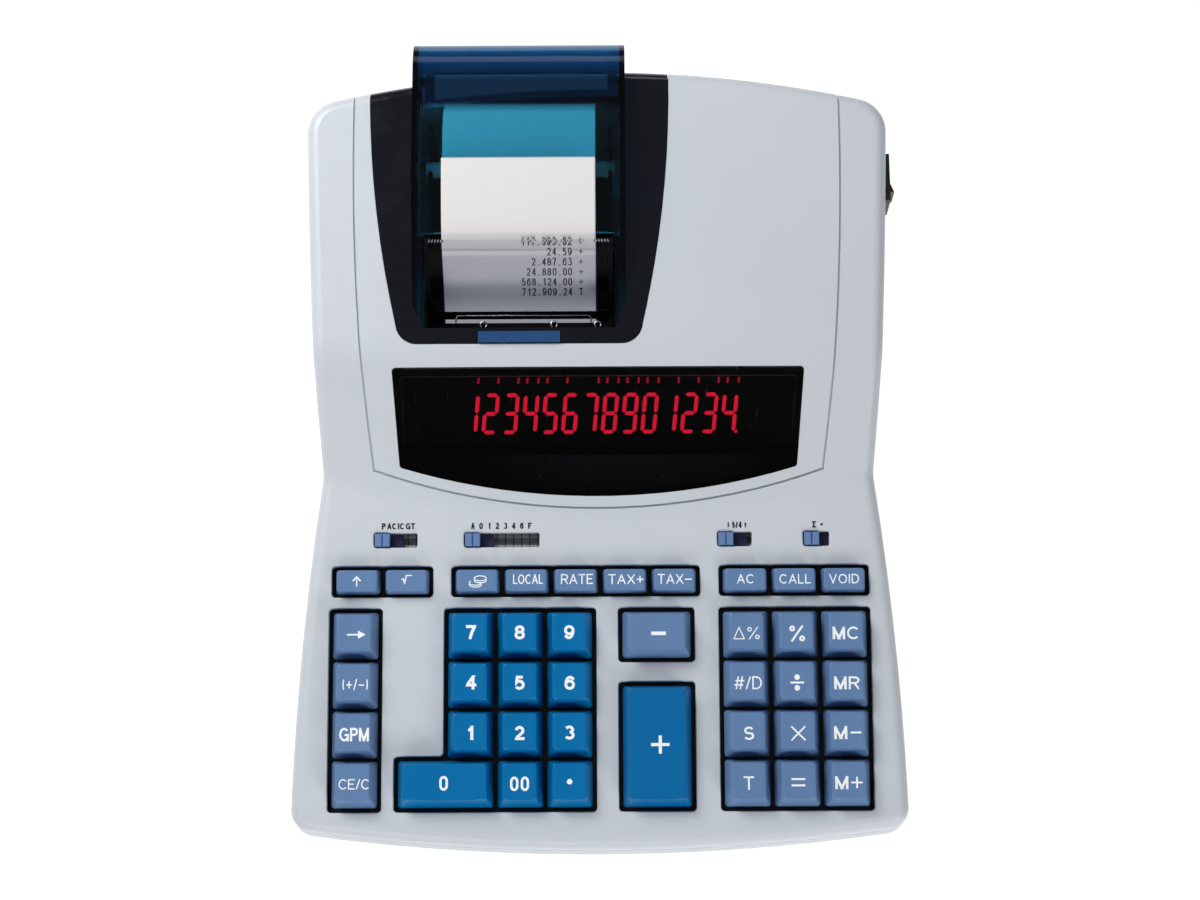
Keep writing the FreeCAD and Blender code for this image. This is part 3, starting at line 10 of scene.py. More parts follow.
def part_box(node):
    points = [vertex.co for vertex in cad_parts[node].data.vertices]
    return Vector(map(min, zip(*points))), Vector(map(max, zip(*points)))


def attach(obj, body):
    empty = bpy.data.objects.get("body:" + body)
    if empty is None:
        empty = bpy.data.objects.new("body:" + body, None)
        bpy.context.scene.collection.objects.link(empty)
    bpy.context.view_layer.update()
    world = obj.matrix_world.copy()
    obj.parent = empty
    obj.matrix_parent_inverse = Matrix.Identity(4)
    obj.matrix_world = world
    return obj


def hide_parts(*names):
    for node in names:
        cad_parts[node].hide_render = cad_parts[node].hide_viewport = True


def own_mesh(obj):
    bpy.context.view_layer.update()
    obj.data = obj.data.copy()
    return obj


# Finish of the printing calculator around its fixed frame, with the printing on its keys,
# the lit digits behind the window, the paper tape, and the light and camera of the picture.
# Lengths are in millimetres unless a comment says otherwise.

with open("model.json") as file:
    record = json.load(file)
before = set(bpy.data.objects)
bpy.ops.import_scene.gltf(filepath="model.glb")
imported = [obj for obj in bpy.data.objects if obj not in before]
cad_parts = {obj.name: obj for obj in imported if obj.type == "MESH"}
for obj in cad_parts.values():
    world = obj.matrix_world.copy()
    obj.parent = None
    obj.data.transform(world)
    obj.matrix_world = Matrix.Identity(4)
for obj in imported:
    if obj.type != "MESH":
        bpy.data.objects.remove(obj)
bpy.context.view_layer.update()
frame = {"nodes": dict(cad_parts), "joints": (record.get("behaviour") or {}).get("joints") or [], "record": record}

MM = 0.001
SCENE = bpy.context.scene
NODES = frame["nodes"]
JOINTS = {joint["name"]: joint for joint in frame["joints"]}
SLOTS = {part["node"]: part["material_slot"] for part in frame["record"]["subparts"]}

# The deck is square to the way the keys travel.
DECK_UP = -Vector(JOINTS["key_5_press"]["axis"]).normalized()
DECK_ALONG = Vector((0, DECK_UP.z, -DECK_UP.y))
ACROSS = Vector((1, 0, 0))


# Places and ways

def tilted(angle):
    """The ways along and square to a plane that rises to the rear at the angle."""
    cosine, sine = math.cos(angle), math.sin(angle)
    return Vector((0, cosine, sine)), Vector((0, -sine, cosine))


def joint_place(name):
    return Vector(JOINTS[name]["pos_m"])


def middle(node):
    low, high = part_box(node)
    return (low + high) / 2


# Materials

def new_material(name, colour, roughness, **values):
    """A material with one main shader; the values are the shader's other inputs."""
    material = bpy.data.materials.new(name)
    material.use_nodes = True
    shader = material.node_tree.nodes["Principled BSDF"]
    shader.inputs["Base Color"].default_value = (*colour, 1)
    shader.inputs["Roughness"].default_value = roughness
    for socket, value in values.items():
        shader.inputs[socket.replace("_", " ")].default_value = value
    return material, shader


def add_node(material, kind, **values):
    node = material.node_tree.nodes.new(kind)
    for socket, value in values.items():
        node.inputs[socket.replace("_", " ")].default_value = value
    return node


def link(source, target):
    source.id_data.links.new(source, target)


def feed(socket, value):
    """Give a socket another node's output, a colour or a number."""
    if isinstance(value, bpy.types.NodeSocket):
        link(value, socket)
    else:
        socket.default_value = (*value, 1) if isinstance(value, tuple) else value


def arithmetic(material, operation, first, second, clamp=False):
    step = add_node(material, "ShaderNodeMath")
    step.operation = operation
    step.use_clamp = clamp
    feed(step.inputs[0], first)
    feed(step.inputs[1], second)
    return step.outputs[0]


def show_mix(material, share, first, second):
    """The surface shows the second shader in place of the first, by the share."""
    both = add_node(material, "ShaderNodeMixShader")
    for socket, source in zip(both.inputs, (share, first.outputs[0], second.outputs[0])):
        link(source, socket)
    link(both.outputs[0], material.node_tree.nodes["Material Output"].inputs["Surface"])


def own_place(material):
    return add_node(material, "ShaderNodeTexCoord").outputs["Object"]


def noise(material, size, detail=2.0, stretch=(1, 1, 1)):
    """Noise over the object's own coordinates, with features about the size across."""
    spread = add_node(material, "ShaderNodeMapping", Scale=stretch)
    pattern = add_node(material, "ShaderNodeTexNoise", Scale=1 / (size * MM), Detail=detail)
    link(own_place(material), spread.inputs["Vector"])
    link(spread.outputs["Vector"], pattern.inputs["Vector"])
    return pattern.outputs["Fac"]


def spread_values(material, source, low, high, start=0.3, end=0.7):
    """A value between start and end becomes one from low to high."""
    change = add_node(material, "ShaderNodeMapRange",
                      From_Min=start, From_Max=end, To_Min=low, To_Max=high)
    link(source, change.inputs["Value"])
    return change.outputs["Result"]


def mix_colours(material, share, first, second):
    """The mix node's colours are its inputs 6 and 7 and its output 2."""
    blend = add_node(material, "ShaderNodeMix")
    blend.data_type = "RGBA"
    link(share, blend.inputs["Factor"])
    feed(blend.inputs[6], first)
    feed(blend.inputs[7], second)
    return blend.outputs[2]


def shade(colour, factor):
    return tuple(channel * factor for channel in colour)


def vary_colour(material, shader, colour, spread, size, stretch=(1, 1, 1)):
    """Slow drift of the colour, darker and lighter by the spread."""
    share = spread_values(material, noise(material, size, detail=3, stretch=stretch), 0, 1)
    result = mix_colours(material, share, shade(colour, 1 - spread), shade(colour, 1 + spread))
    link(result, shader.inputs["Base Color"])


def vary_roughness(material, shader, low, high, size, stretch=(1, 1, 1)):
    pattern = noise(material, size, detail=4, stretch=stretch)
    link(spread_values(material, pattern, low, high), shader.inputs["Roughness"])


def bump(material, shader, size, depth, stretch=(1, 1, 1)):
    """Fine relief: grain of the given size and depth."""
    relief = add_node(material, "ShaderNodeBump", Strength=1.0, Distance=depth * MM)
    link(noise(material, size, stretch=stretch), relief.inputs["Height"])
    link(relief.outputs["Normal"], shader.inputs["Normal"])


DRIFT_SIZE, SHEEN_SIZE = 40, 9


def moulded(name, colour, low, high, grain=0.35, depth=0.012, spread=0.03, **values):
    """Moulded plastic: fine grain, uneven sheen and a slow drift of colour."""
    material, shader = new_material(name, colour, (low + high) / 2, **values)
    vary_colour(material, shader, colour, spread, DRIFT_SIZE)
    vary_roughness(material, shader, low, high, SHEEN_SIZE)
    bump(material, shader, grain, depth)
    return material


def let_light_through(material, shader, tint):
    """Lamps and soft light reach what lies behind the pane, tinted by it."""
    path = add_node(material, "ShaderNodeLightPath")
    passing = arithmetic(material, "MAXIMUM", path.outputs["Is Shadow Ray"],
                         path.outputs["Is Diffuse Ray"])
    clear = add_node(material, "ShaderNodeBsdfTransparent", Color=(*tint, 1))
    show_mix(material, passing, shader, clear)


HANDLING_SIZE, FLOW_SIZE, FLOW_DEPTH = 14, 22, 0.02


def clear_plastic(name, tint, ior, low, high):
    """Tinted see-through plastic with faint flow marks and handling marks."""
    material, shader = new_material(name, tint, low, Transmission_Weight=1.0, IOR=ior)
    vary_roughness(material, shader, low, high, HANDLING_SIZE)
    bump(material, shader, FLOW_SIZE, FLOW_DEPTH)
    let_light_through(material, shader, tint)
    return material


def share_along(material, axis, span):
    """Grows from 0 to 1 over a span along an axis of the object."""
    parts = add_node(material, "ShaderNodeSeparateXYZ")
    link(own_place(material), parts.inputs[0])
    start, end = span
    return spread_values(material, parts.outputs[axis], 0, 1, start * MM, end * MM)


def tint_along(material, tint, *changes):
    """Towards the rear the tint passes to each next one over a span."""
    for span, follower in changes:
        tint = mix_colours(material, share_along(material, "Y", span), tint, follower)
    link(tint, material.node_tree.nodes["Principled BSDF"].inputs["Base Color"])


CASE_COLOUR = (0.585, 0.625, 0.665)
NUMBER_BLUE = (0.0, 0.155, 0.40)
PLUS_BLUE = (0.001, 0.135, 0.36)
KEY_BLUE = (0.125, 0.225, 0.415)
KNOB_BLUE = (0.13, 0.22, 0.43)
TAB_BLUE = (0.016, 0.068, 0.195)
PLATE_NAVY = (0.02, 0.02, 0.08)
BLACK_PLASTIC = (0.012, 0.012, 0.014)
MATT_BLACK = (0.003, 0.003, 0.0035)
SLOT_GREY = (0.4, 0.4, 0.42)
BOARD_GREEN = (0.012, 0.08, 0.035)
PAPER_WHITE = (0.76, 0.74, 0.73)
DISPLAY_RED = (1.0, 0.012, 0.05)
UNLIT_RED = (0.2, 0.0, 0.01)
LIT_STRENGTH = 2.5
# Glow of the painted reflection: dim marks on the lip that stand in for the figures mirrored there
PAINTED_REFLECTION_GLOW = 1.2

# Panes bend light less than real plastic: the photograph shows them nearly without reflections
COVER_IOR, WINDOW_IOR, BAR_IOR = 1.35, 1.25, 1.12
COVER_TINT = (0.94, 0.97, 0.99)
COVER_COLOUR = (0.089, 0.724, 0.843)
COVER_DENSITY = 700.0  # per metre
# Painted shade: the cover is drawn darkest over the hinge and dark teal at the rear
HINGE_PAINTED_SHADE = (0.016, 0.028, 0.06)
REAR_PAINTED_SHADE = (0.11, 0.3, 0.46)
WINDOW_TINT = (0.25, 0.25, 0.26)
WINDOW_EDGE_TINT = (0.02, 0.02, 0.022)
BAR_TINT = (0.84, 0.85, 0.88)

# Spans over which tints change towards the rear (on the cover they are painted shade), and the painted glow at the
# tape's foot with height
HINGE_SHADE_SPAN, REAR_SHADE_SPAN = (117, 121.5), (131, 140)
WINDOW_EDGE_SPAN = (-2, -1)
TAPE_PAINTED_GLOW_SPAN = (62, 50)
TAPE_PAINTED_GLOW = 0.3
TAPE_PAINTED_GLOW_COLOUR = (0.86, 0.9, 1)

# Lines on the switches' floor: pitch, length of a wave at a scale of 1 in metres, crest drawn
DECIMAL_PITCH = 3.07
WAVE_LENGTH = 0.314
LINE_CREST = (0.95, 0.99)


def key_plastic(name, colour):
    return moulded(name, colour, 0.28, 0.33, grain=0.4, depth=0.003, spread=0.02,
                   Specular_IOR_Level=0.3)


def dark_plastic(name, colour=BLACK_PLASTIC, low=0.3, high=0.5, **values):
    return moulded(name, colour, low, high, grain=0.4, depth=0.01, spread=0.15, **values)


def cover_plastic():
    """Its body keeps back light, more where it is thicker; over the hinge and at the rear its colour is darkened
    as painted shade.
    """
    material = clear_plastic("cover_plastic", COVER_TINT, COVER_IOR, 0.04, 0.12)
    tint_along(material, COVER_TINT, (HINGE_SHADE_SPAN, HINGE_PAINTED_SHADE), (REAR_SHADE_SPAN, REAR_PAINTED_SHADE))
    body = add_node(material, "ShaderNodeVolumeAbsorption", Color=(*COVER_COLOUR, 1),
                    Density=COVER_DENSITY)
    link(body.outputs[0], material.node_tree.nodes["Material Output"].inputs["Volume"])
    return material


def slot_floor_material():
    """Grey floor of the slide switches with a thin dark line between the places."""
    material, shader = new_material("slot_floor", SLOT_GREY, 0.5)
    lines = add_node(material, "ShaderNodeTexWave", Scale=WAVE_LENGTH / (DECIMAL_PITCH * MM))
    link(own_place(material), lines.inputs["Vector"])
    share = spread_values(material, lines.outputs["Fac"], 0, 1, *LINE_CREST)
    colour = mix_colours(material, share, SLOT_GREY, BLACK_PLASTIC)
    link(colour, shader.inputs["Base Color"])
    bump(material, shader, 0.4, 0.01)
    return material


def window_plastic():
    """Dark tinted pane with short fine scratches from wiping, darker along its front edge."""
    material, shader = new_material("window_plastic", WINDOW_TINT, 0.02,
                                    Transmission_Weight=1.0, IOR=WINDOW_IOR)
    pattern = noise(material, 1.6, detail=6, stretch=(1.6, 0.16, 0.16))
    scratches = spread_values(material, pattern, low=0.012, high=0.35, start=0.66, end=0.74)
    link(scratches, shader.inputs["Roughness"])
    bump(material, shader, 30, 0.01)
    let_light_through(material, shader, WINDOW_TINT)
    tint_along(material, WINDOW_EDGE_TINT, (WINDOW_EDGE_SPAN, WINDOW_TINT))
    return material


def paper_material():
    """Uncoated paper: fibres and a slight waviness, and a painted glow low down that stands in for light through
    the clear bar.
    """
    material, shader = new_material("paper", PAPER_WHITE, 0.85, Emission_Color=(*TAPE_PAINTED_GLOW_COLOUR, 1))
    vary_colour(material, shader, PAPER_WHITE, 0.015, 1.2)
    bump(material, shader, 0.25, 0.01)
    # Painted light: the paper glows more the lower it lies, in place of light through the clear bar
    glow = arithmetic(material, "MULTIPLY", share_along(material, "Z", TAPE_PAINTED_GLOW_SPAN), TAPE_PAINTED_GLOW)
    link(glow, shader.inputs["Emission Strength"])
    return material


def roll_material():
    """The wound roll: fine rings on its sides from the layers of paper."""
    material, shader = new_material("paper_wound", PAPER_WHITE, 0.8)
    rings = add_node(material, "ShaderNodeTexWave", Scale=700.0, Distortion=0.6, Detail=2.0)
    rings.wave_type = "RINGS"
    rings.rings_direction = "X"
    centre = add_node(material, "ShaderNodeMapping",
                      Location=tuple(-joint_place("paper_roll_spin")))
    link(own_place(material), centre.inputs["Vector"])
    link(centre.outputs["Vector"], rings.inputs["Vector"])
    share = spread_values(material, rings.outputs["Fac"], 0, 1, start=0, end=1)
    colour = mix_colours(material, share, shade(PAPER_WHITE, 0.9), PAPER_WHITE)
    link(colour, shader.inputs["Base Color"])
    bump(material, shader, 0.4, 0.01, (0.1, 1, 1))
    return material


def metal(name, colour, low, high):
    """Rolled or drawn metal with fine lines along its length."""
    size, stretch = 0.6, (0.05, 1, 1)
    material, shader = new_material(name, colour, low, Metallic=1.0)
    vary_roughness(material, shader, low, high, size, stretch)
    bump(material, shader, size, 0.004, stretch)
    return material


def rubber(name, colour):
    return moulded(name, colour, 0.6, 0.85, grain=0.25, depth=0.02, spread=0.2)


def board_material():
    """Lacquered board with the faint relief of its tracks."""
    material, shader = new_material("board", BOARD_GREEN, 0.35)
    vary_colour(material, shader, BOARD_GREEN, 0.35, 2.5, (1, 0.2, 1))
    bump(material, shader, 1.8, 0.05, (1, 0.25, 1))
    return material


def ink_material(name, colour):
    """Printed ink, slightly uneven in cover."""
    material, shader = new_material(name, colour, 0.5)
    vary_colour(material, shader, colour, 0.06, 0.5)
    vary_roughness(material, shader, 0.4, 0.6, 0.8)
    return material


def lit_material(name, strength):
    """Glowing segments, a little uneven as real ones are."""
    material, shader = new_material(name, UNLIT_RED, 0.4, Emission_Strength=strength)
    share = spread_values(material, noise(material, 1.5), 0, 1)
    glow = mix_colours(material, share, shade(DISPLAY_RED, 0.85), DISPLAY_RED)
    link(glow, shader.inputs["Emission Color"])
    return material


MATERIALS = {
    "case": moulded("case_plastic", CASE_COLOUR, 0.34, 0.46, grain=0.5, depth=0.006, spread=0.012),
    "frame": dark_plastic("frame_plastic"),
    "board": board_material(),
    "number_key": key_plastic("number_key_plastic", NUMBER_BLUE),
    "plus_key": key_plastic("plus_key_plastic", PLUS_BLUE),
    "function_key": key_plastic("function_key_plastic", KEY_BLUE),
    "knob": key_plastic("knob_plastic", KNOB_BLUE),
    "window": window_plastic(),
    "display": dark_plastic("matt_black", MATT_BLACK, 0.5, 0.65, Specular_IOR_Level=0.2),
    "cover": cover_plastic(),
    "steel": moulded("mechanism_metal", (0.007, 0.007, 0.008), 0.32, 0.48, Specular_IOR_Level=0.0),
    "tear_bar": clear_plastic("bar_plastic", BAR_TINT, BAR_IOR, 0.03, 0.09),
    "rubber": rubber("rubber", (0.02, 0.02, 0.022)),
    "ink": rubber("ink_foam", (0.02, 0.02, 0.06)),
    "paper": roll_material(),
    "power": dark_plastic("power_plastic", (0.015, 0.015, 0.017)),
    "rocker": dark_plastic("rocker_plastic", (0.01, 0.01, 0.011), 0.12, 0.25),
}
PAPER = paper_material()
WHITE_INK = ink_material("white_print", (0.92, 0.96, 0.98))
BLACK_INK = ink_material("black_print", (0.012, 0.012, 0.016))
TAPE_INK = ink_material("tape_print", (0.008, 0.008, 0.02))
LIT = lit_material("lit_segments", LIT_STRENGTH)
# Painted reflection of the figures on the lip, drawn as dim glowing segments
PAINTED_REFLECTION = lit_material("segment_painted_reflection", PAINTED_REFLECTION_GLOW)
BRIGHT_STEEL = metal("bright_steel", (0.62, 0.63, 0.65), 0.18, 0.34)
# Painted shade: the cover's wings drawn opaque near-black in place of the dark space seen through them
WING_PAINTED_SHADE = dark_plastic("wing_painted_shade", (0.004, 0.005, 0.009), 0.1, 0.2)
TAB_PLASTIC = dark_plastic("tab_plastic", TAB_BLUE, 0.2, 0.3)
PLATE_PLASTIC = dark_plastic("slide_plastic", PLATE_NAVY, 0.3, 0.4)
SLOT_FLOOR = slot_floor_material()


def dress_nodes():
    for name, item in NODES.items():
        item.data.materials.clear()
        item.data.materials.append(MATERIALS[SLOTS[name]])


def dress_part(node, material, chosen):
    """Give the faces that the test picks another material."""
    mesh = NODES[node].data
    mesh.materials.append(material)
    number = len(mesh.materials) - 1
    for face in mesh.polygons:
        if chosen(face.center, face.normal):
            face.material_index = number


# Mesh pieces

RAY_START = 20


def new_piece(name, points, faces, material, body="case"):
    """A piece with the given material that rides the body."""
    mesh = bpy.data.meshes.new(name)
    mesh.from_pydata([tuple(point) for point in points], [], faces)
    mesh.materials.append(material)
    piece = bpy.data.objects.new(name, mesh)
    SCENE.collection.objects.link(piece)
    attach(piece, body)
    return piece


def thicken(piece, thickness, offset=-1):
    shell = piece.modifiers.new("thickness", "SOLIDIFY")
    shell.thickness = thickness * MM
    shell.offset = offset


def tidy_normals(piece):
    form = bmesh.new()
    form.from_mesh(piece.data)
    bmesh.ops.recalc_face_normals(form, faces=form.faces)
    form.to_mesh(piece.data)
    form.free()


def surface_of(*nodes):
    """The nodes' shapes, ready to be met by a straight line."""
    points, faces = [], []
    for node in nodes:
        mesh = NODES[node].data
        start = len(points)
        points += [vertex.co.copy() for vertex in mesh.vertices]
        faces += [[start + corner for corner in face.vertices] for face in mesh.polygons]
    return BVHTree.FromPolygons(points, faces)


def lay_on(surface, point, direction, lift):
    """The point moved onto the surface along the direction, and lifted off it."""
    hit = surface.ray_cast(point - direction * RAY_START * MM, direction)[0]
    return (hit or point) - direction * lift * MM


# Flat shapes as lists of corners, in a plane of their own

STROKE_STEP = 0.7
MITRE_LIMIT = 0.4
SLIGHT = 1e-6
STEEP = 0.3


def ring_corners(centre, radius, count, squash=1.0):
    turns = [2 * math.pi * step / count for step in range(count)]
    return [(centre[0] + radius * math.cos(turn), centre[1] + radius * squash * math.sin(turn))
            for turn in turns]


def end_corners(point, way, width, room):
    """The two corners of a line's end, cut along the room's edge where the end meets it."""
    side = Vector((-way.y, way.x)) * width / 2
    corners = [point + side, point - side]
    for axis in (1, 0):
        for limit in (0, room[axis]) if room else ():
            if abs(point[axis] - limit) < width / 2 + SLIGHT and abs(way[axis]) > STEEP:
                return [corner + way * (limit - corner[axis]) / way[axis] for corner in corners]
    return corners


def in_short_steps(points, closed):
    """The same line with points close enough together to follow a dished key."""
    path = [Vector(point) for point in points]
    ends = path[1:] + path[:1] if closed else path[1:]
    fine = []
    for start, end in zip(path, ends):
        count = max(1, math.ceil((end - start).length / STROKE_STEP))
        fine += [start.lerp(end, step / count) for step in range(count)]
    return fine if closed else fine + [path[-1]]


def stroke(points, width, closed=False, room=None):
    """Corners and faces of a line of even width with mitred corners, kept inside the room."""
    path = in_short_steps(points, closed)
    count = len(path)
    corners, faces = [], []
    for number, point in enumerate(path):
        before = path[number - 1] if closed or number > 0 else None
        after = path[(number + 1) % count] if closed or number < count - 1 else None
        if before is None or after is None:
            way = (after - point if before is None else point - before).normalized()
            corners += end_corners(point, way, width, room)
            continue
        ways = [(point - before).normalized(), (after - point).normalized()]
        sides = [Vector((-way.y, way.x)) for way in ways]
        side = (sides[0] + sides[1]).normalized()
        reach = width / 2 / max(MITRE_LIMIT, side.dot(sides[0]))
        corners += [point + side * reach, point - side * reach]
    if room:
        corners = [Vector(min(max(place, 0), limit) for place, limit in zip(corner, room))
                   for corner in corners]
    for number in range(count if closed else count - 1):
        first, second = 2 * number, 2 * ((number + 1) % count)
        faces.append([first, first + 1, second + 1, second])
    return corners, faces


def filled(corners):
    return [Vector(corner) for corner in corners], [list(range(len(corners)))]


def join_shapes(shapes):
    corners, faces = [], []
    for more_corners, more_faces in shapes:
        start = len(corners)
        corners += more_corners
        faces += [[start + corner for corner in face] for face in more_faces]
    return corners, faces


def shifted(shape, across, along):
    corners, faces = shape
    return [corner + Vector((across, along)) for corner in corners], faces


# Letters drawn as lines in a square from 0 to 1: how wide each is beside the others, and its lines

ARC_STEP = 15
LETTER_GAP = 0.18


def arc(across, along, wide, high, start, end):
    """Points on an oval from one angle to another."""
    count = round(abs(end - start) / ARC_STEP)
    turns = [math.radians(start + (end - start) * step / count) for step in range(count + 1)]
    return [(across + wide * math.cos(turn), along + high * math.sin(turn)) for turn in turns]


def oval(across, along, wide, high):
    return arc(across, along, wide, high, 0, 360)


def turned(lines):
    return [[(1 - across, 1 - along) for across, along in line] for line in lines]


BOWL = [(0, 1), (0.58, 1)] + arc(0.58, 0.74, 0.42, 0.26, 90, -90) + [(0, 0.48)]
SIX = [oval(0.5, 0.33, 0.5, 0.33), arc(0.56, 0.66, 0.46, 0.34, 20, 150) + [(0.02, 0.6), (0, 0.33)]]
LETTERS = {
    "0": (0.66, [arc(0.5, 0.68, 0.5, 0.32, 0, 180) + arc(0.5, 0.32, 0.5, 0.32, 180, 360)
                 + [(1, 0.68)]]),
    "1": (0.42, [[(1, 0), (1, 1)], arc(-0.05, 1.02, 0.95, 0.28, 275, 345)]),
    "2": (0.68, [arc(0.5, 0.71, 0.47, 0.29, 172, -40)
                 + [(0.42, 0.27), (0.12, 0.1), (0.02, 0), (1, 0)]]),
    "3": (0.68, [arc(0.47, 0.755, 0.44, 0.245, 152, -85), arc(0.48, 0.265, 0.5, 0.265, 85, -150)]),
    "4": (0.72, [[(0.76, 1), (0, 0.27), (1, 0.27)], [(0.76, 0), (0.76, 1)]]),
    "5": (0.68, [[(0.92, 1), (0.18, 1), (0.08, 0.48)] + arc(0.46, 0.32, 0.52, 0.32, 125, -145)]),
    "6": (0.68, SIX),
    "7": (0.68, [[(0, 1), (1, 1), (0.62, 0.52), (0.4, 0)]]),
    "8": (0.68, [oval(0.5, 0.755, 0.44, 0.245), oval(0.5, 0.265, 0.5, 0.265)]),
    "9": (0.68, turned(SIX)),
    "A": (0.95, [[(0, 0), (0.5, 1)], [(0.5, 1), (1, 0)], [(0.18, 0.32), (0.82, 0.32)]]),
    "C": (0.95, [arc(0.54, 0.5, 0.54, 0.5, 42, 318)]),
    "D": (0.88, [[(0, 0), (0, 1), (0.42, 1)] + arc(0.42, 0.5, 0.58, 0.5, 90, -90) + [(0, 0)]]),
    "E": (0.76, [[(1, 1), (0, 1), (0, 0), (1, 0)], [(0, 0.52), (0.92, 0.52)]]),
    "F": (0.72, [[(1, 1), (0, 1), (0, 0)], [(0, 0.5), (0.9, 0.5)]]),
    "G": (1.0, [arc(0.52, 0.5, 0.52, 0.5, 42, 322), [(1, 0), (1, 0.46), (0.56, 0.46)]]),
    "I": (0.14, [[(0.5, 0), (0.5, 1)]]),
    "L": (0.68, [[(0, 1), (0, 0), (1, 0)]]),
    "M": (1.02, [[(0, 0), (0, 1)], [(1, 0), (1, 1)], [(0, 1), (0.5, 0)], [(0.5, 0), (1, 1)]]),
    "O": (1.02, [oval(0.5, 0.5, 0.5, 0.5)]),
    "P": (0.8, [[(0, 0), (0, 1)], BOWL]),
    "R": (0.86, [[(0, 0), (0, 1)], BOWL, [(0.5, 0.48), (1, 0)]]),
    "S": (0.82, [arc(0.5, 0.745, 0.45, 0.255, 25, 235) + arc(0.5, 0.265, 0.5, 0.265, 55, -155)]),
    "T": (0.84, [[(0, 1), (1, 1)], [(0.5, 0), (0.5, 1)]]),
    "V": (0.92, [[(0, 1), (0.5, 0)], [(0.5, 0), (1, 1)]]),
    "X": (0.9, [[(0, 0), (1, 1)], [(0, 1), (1, 0)]]),
    "Σ": (0.8, [[(1, 1), (0, 1), (0.55, 0.5), (0, 0), (1, 0)]]),
    "/": (0.5, [[(0, 0), (1, 1)]]),
    "#": (0.95, [[(0.16, 0), (0.38, 1)], [(0.62, 0), (0.84, 1)],
                 [(0, 0.32), (0.94, 0.32)], [(0.06, 0.68), (1, 0.68)]]),
    "(": (0.3, [arc(1.5, 0.5, 1.5, 0.6, 124, 236)]),
    ")": (0.3, [arc(-0.5, 0.5, 1.5, 0.6, 56, -56)]),
    "+": (0.8, [[(0, 0.47), (1, 0.47)], [(0.5, 0.1), (0.5, 0.84)]]),
    "-": (0.8, [[(0, 0.45), (1, 0.45)]]),
}


def letter_shape(letter, width, height, weight):
    """A letter from nought to its width and height, its lines of one weight."""
    room = (max(width, weight), height)
    shapes = []
    for line in LETTERS[letter][1]:
        points = [(weight / 2 + across * (room[0] - weight), weight / 2 + along * (height - weight))
                  for across, along in line]
        closed = (Vector(points[0]) - Vector(points[-1])).length < SLIGHT
        shapes.append(stroke(points[:-1] if closed else points, weight, closed, room))
    return join_shapes(shapes)


def words(text, width, height, weight, gap=LETTER_GAP):
    """Letters side by side, centred on nought; one weight for all or a list with one for each."""
    weights = weight if isinstance(weight, list) else [weight] * len(text)
    shares = [LETTERS[letter][0] for letter in text]
    scale = width / (sum(shares) + gap * (len(text) - 1))
    shapes, start = [], -width / 2
    for letter, share, letter_weight in zip(text, shares, weights):
        shape = letter_shape(letter, share * scale, height, letter_weight)
        shapes.append(shifted(shape, start, -height / 2))
        start += (share + gap) * scale
    return join_shapes(shapes)


# Signs that aren't letters, drawn at their own size about nought

def up_arrow():
    return join_shapes([stroke([(0, -1.9), (0, 1.6)], 0.5),
                        stroke([(-1.45, 0.2), (0, 1.75), (1.45, 0.2)], 0.55)])


def right_arrow():
    return join_shapes([stroke([(-3.5, 0), (0.9, 0)], 0.6),
                        filled([(0.6, -1.55), (3.5, 0), (0.6, 1.55)])])


def root_sign():
    return stroke([(-1.9, -0.1), (-1.35, 0.25), (-0.75, -1.55), (-0.15, 1.5), (1.9, 1.5)], 0.42)


# Corners of a coin, counted from the right, between which its rim and its top show
COIN_CORNERS = 28
RIM_START, RIM_END = 13, 2
TOP_START, TOP_END = 11, 27


def coins():
    """Two stacked coins seen at a slant."""
    radius, flat, thickness, weight = 2.25, 0.42, 0.75, 0.38
    upper, lower = (0.9, 0.9), (-0.95, -0.7)
    shapes = [stroke(ring_corners(upper, radius, COIN_CORNERS, flat), weight, True)]
    for across, along in (upper, lower):
        rim = ring_corners((across, along - thickness), radius, COIN_CORNERS, flat)
        shapes.append(stroke(rim[RIM_START:] + rim[:RIM_END], weight))
    top = ring_corners(lower, radius, COIN_CORNERS, flat)
    return join_shapes(shapes + [stroke(top[TOP_START:TOP_END], weight)])


def bar(width, weight):
    return stroke([(-width / 2, 0), (width / 2, 0)], weight)


def plus_sign(width, height, weight):
    return join_shapes([bar(width, weight), stroke([(0, -height / 2), (0, height / 2)], weight)])


def times_sign(half, weight):
    return join_shapes([stroke([(-half, -half), (half, half)], weight),
                        stroke([(-half, half), (half, -half)], weight)])


SIGN_BAR = (5.1, 0.75)


def equals_sign():
    return join_shapes([shifted(bar(*SIGN_BAR), 0, along) for along in (1.15, -1.15)])


def divide_sign():
    points = [filled(ring_corners((0, along), 1.05, 20)) for along in (2.0, -2.0)]
    return join_shapes([bar(*SIGN_BAR)] + points)


def percent_sign(width, height, weight):
    radius = 0.185 * height
    across, along = width / 2 - radius, height / 2 - radius
    slash = stroke([(-width * 0.36, -height / 2), (width * 0.36, height / 2)], weight)
    rings = [ring_corners((side * across, -side * along), radius - weight / 2, 20)
             for side in (-1, 1)]
    return join_shapes([slash] + [stroke(ring, weight, True) for ring in rings])


def delta_percent_sign():
    triangle = stroke([(-4.7, -2.1), (-2.75, 2.1), (-0.8, -2.1)], 0.4, True)
    return join_shapes([triangle, shifted(percent_sign(4.6, 4.6, 0.4), 2.6, 0)])


def memory_sign(sign):
    """The letter M with a sign after it."""
    return join_shapes([shifted(letter_shape("M", 4.9, 4.8, 0.95), -5.05, -2.4),
                        shifted(sign, 3.0, 0)])


# Printing on the keys: shape and how far it lies to the right of and behind the key's middle

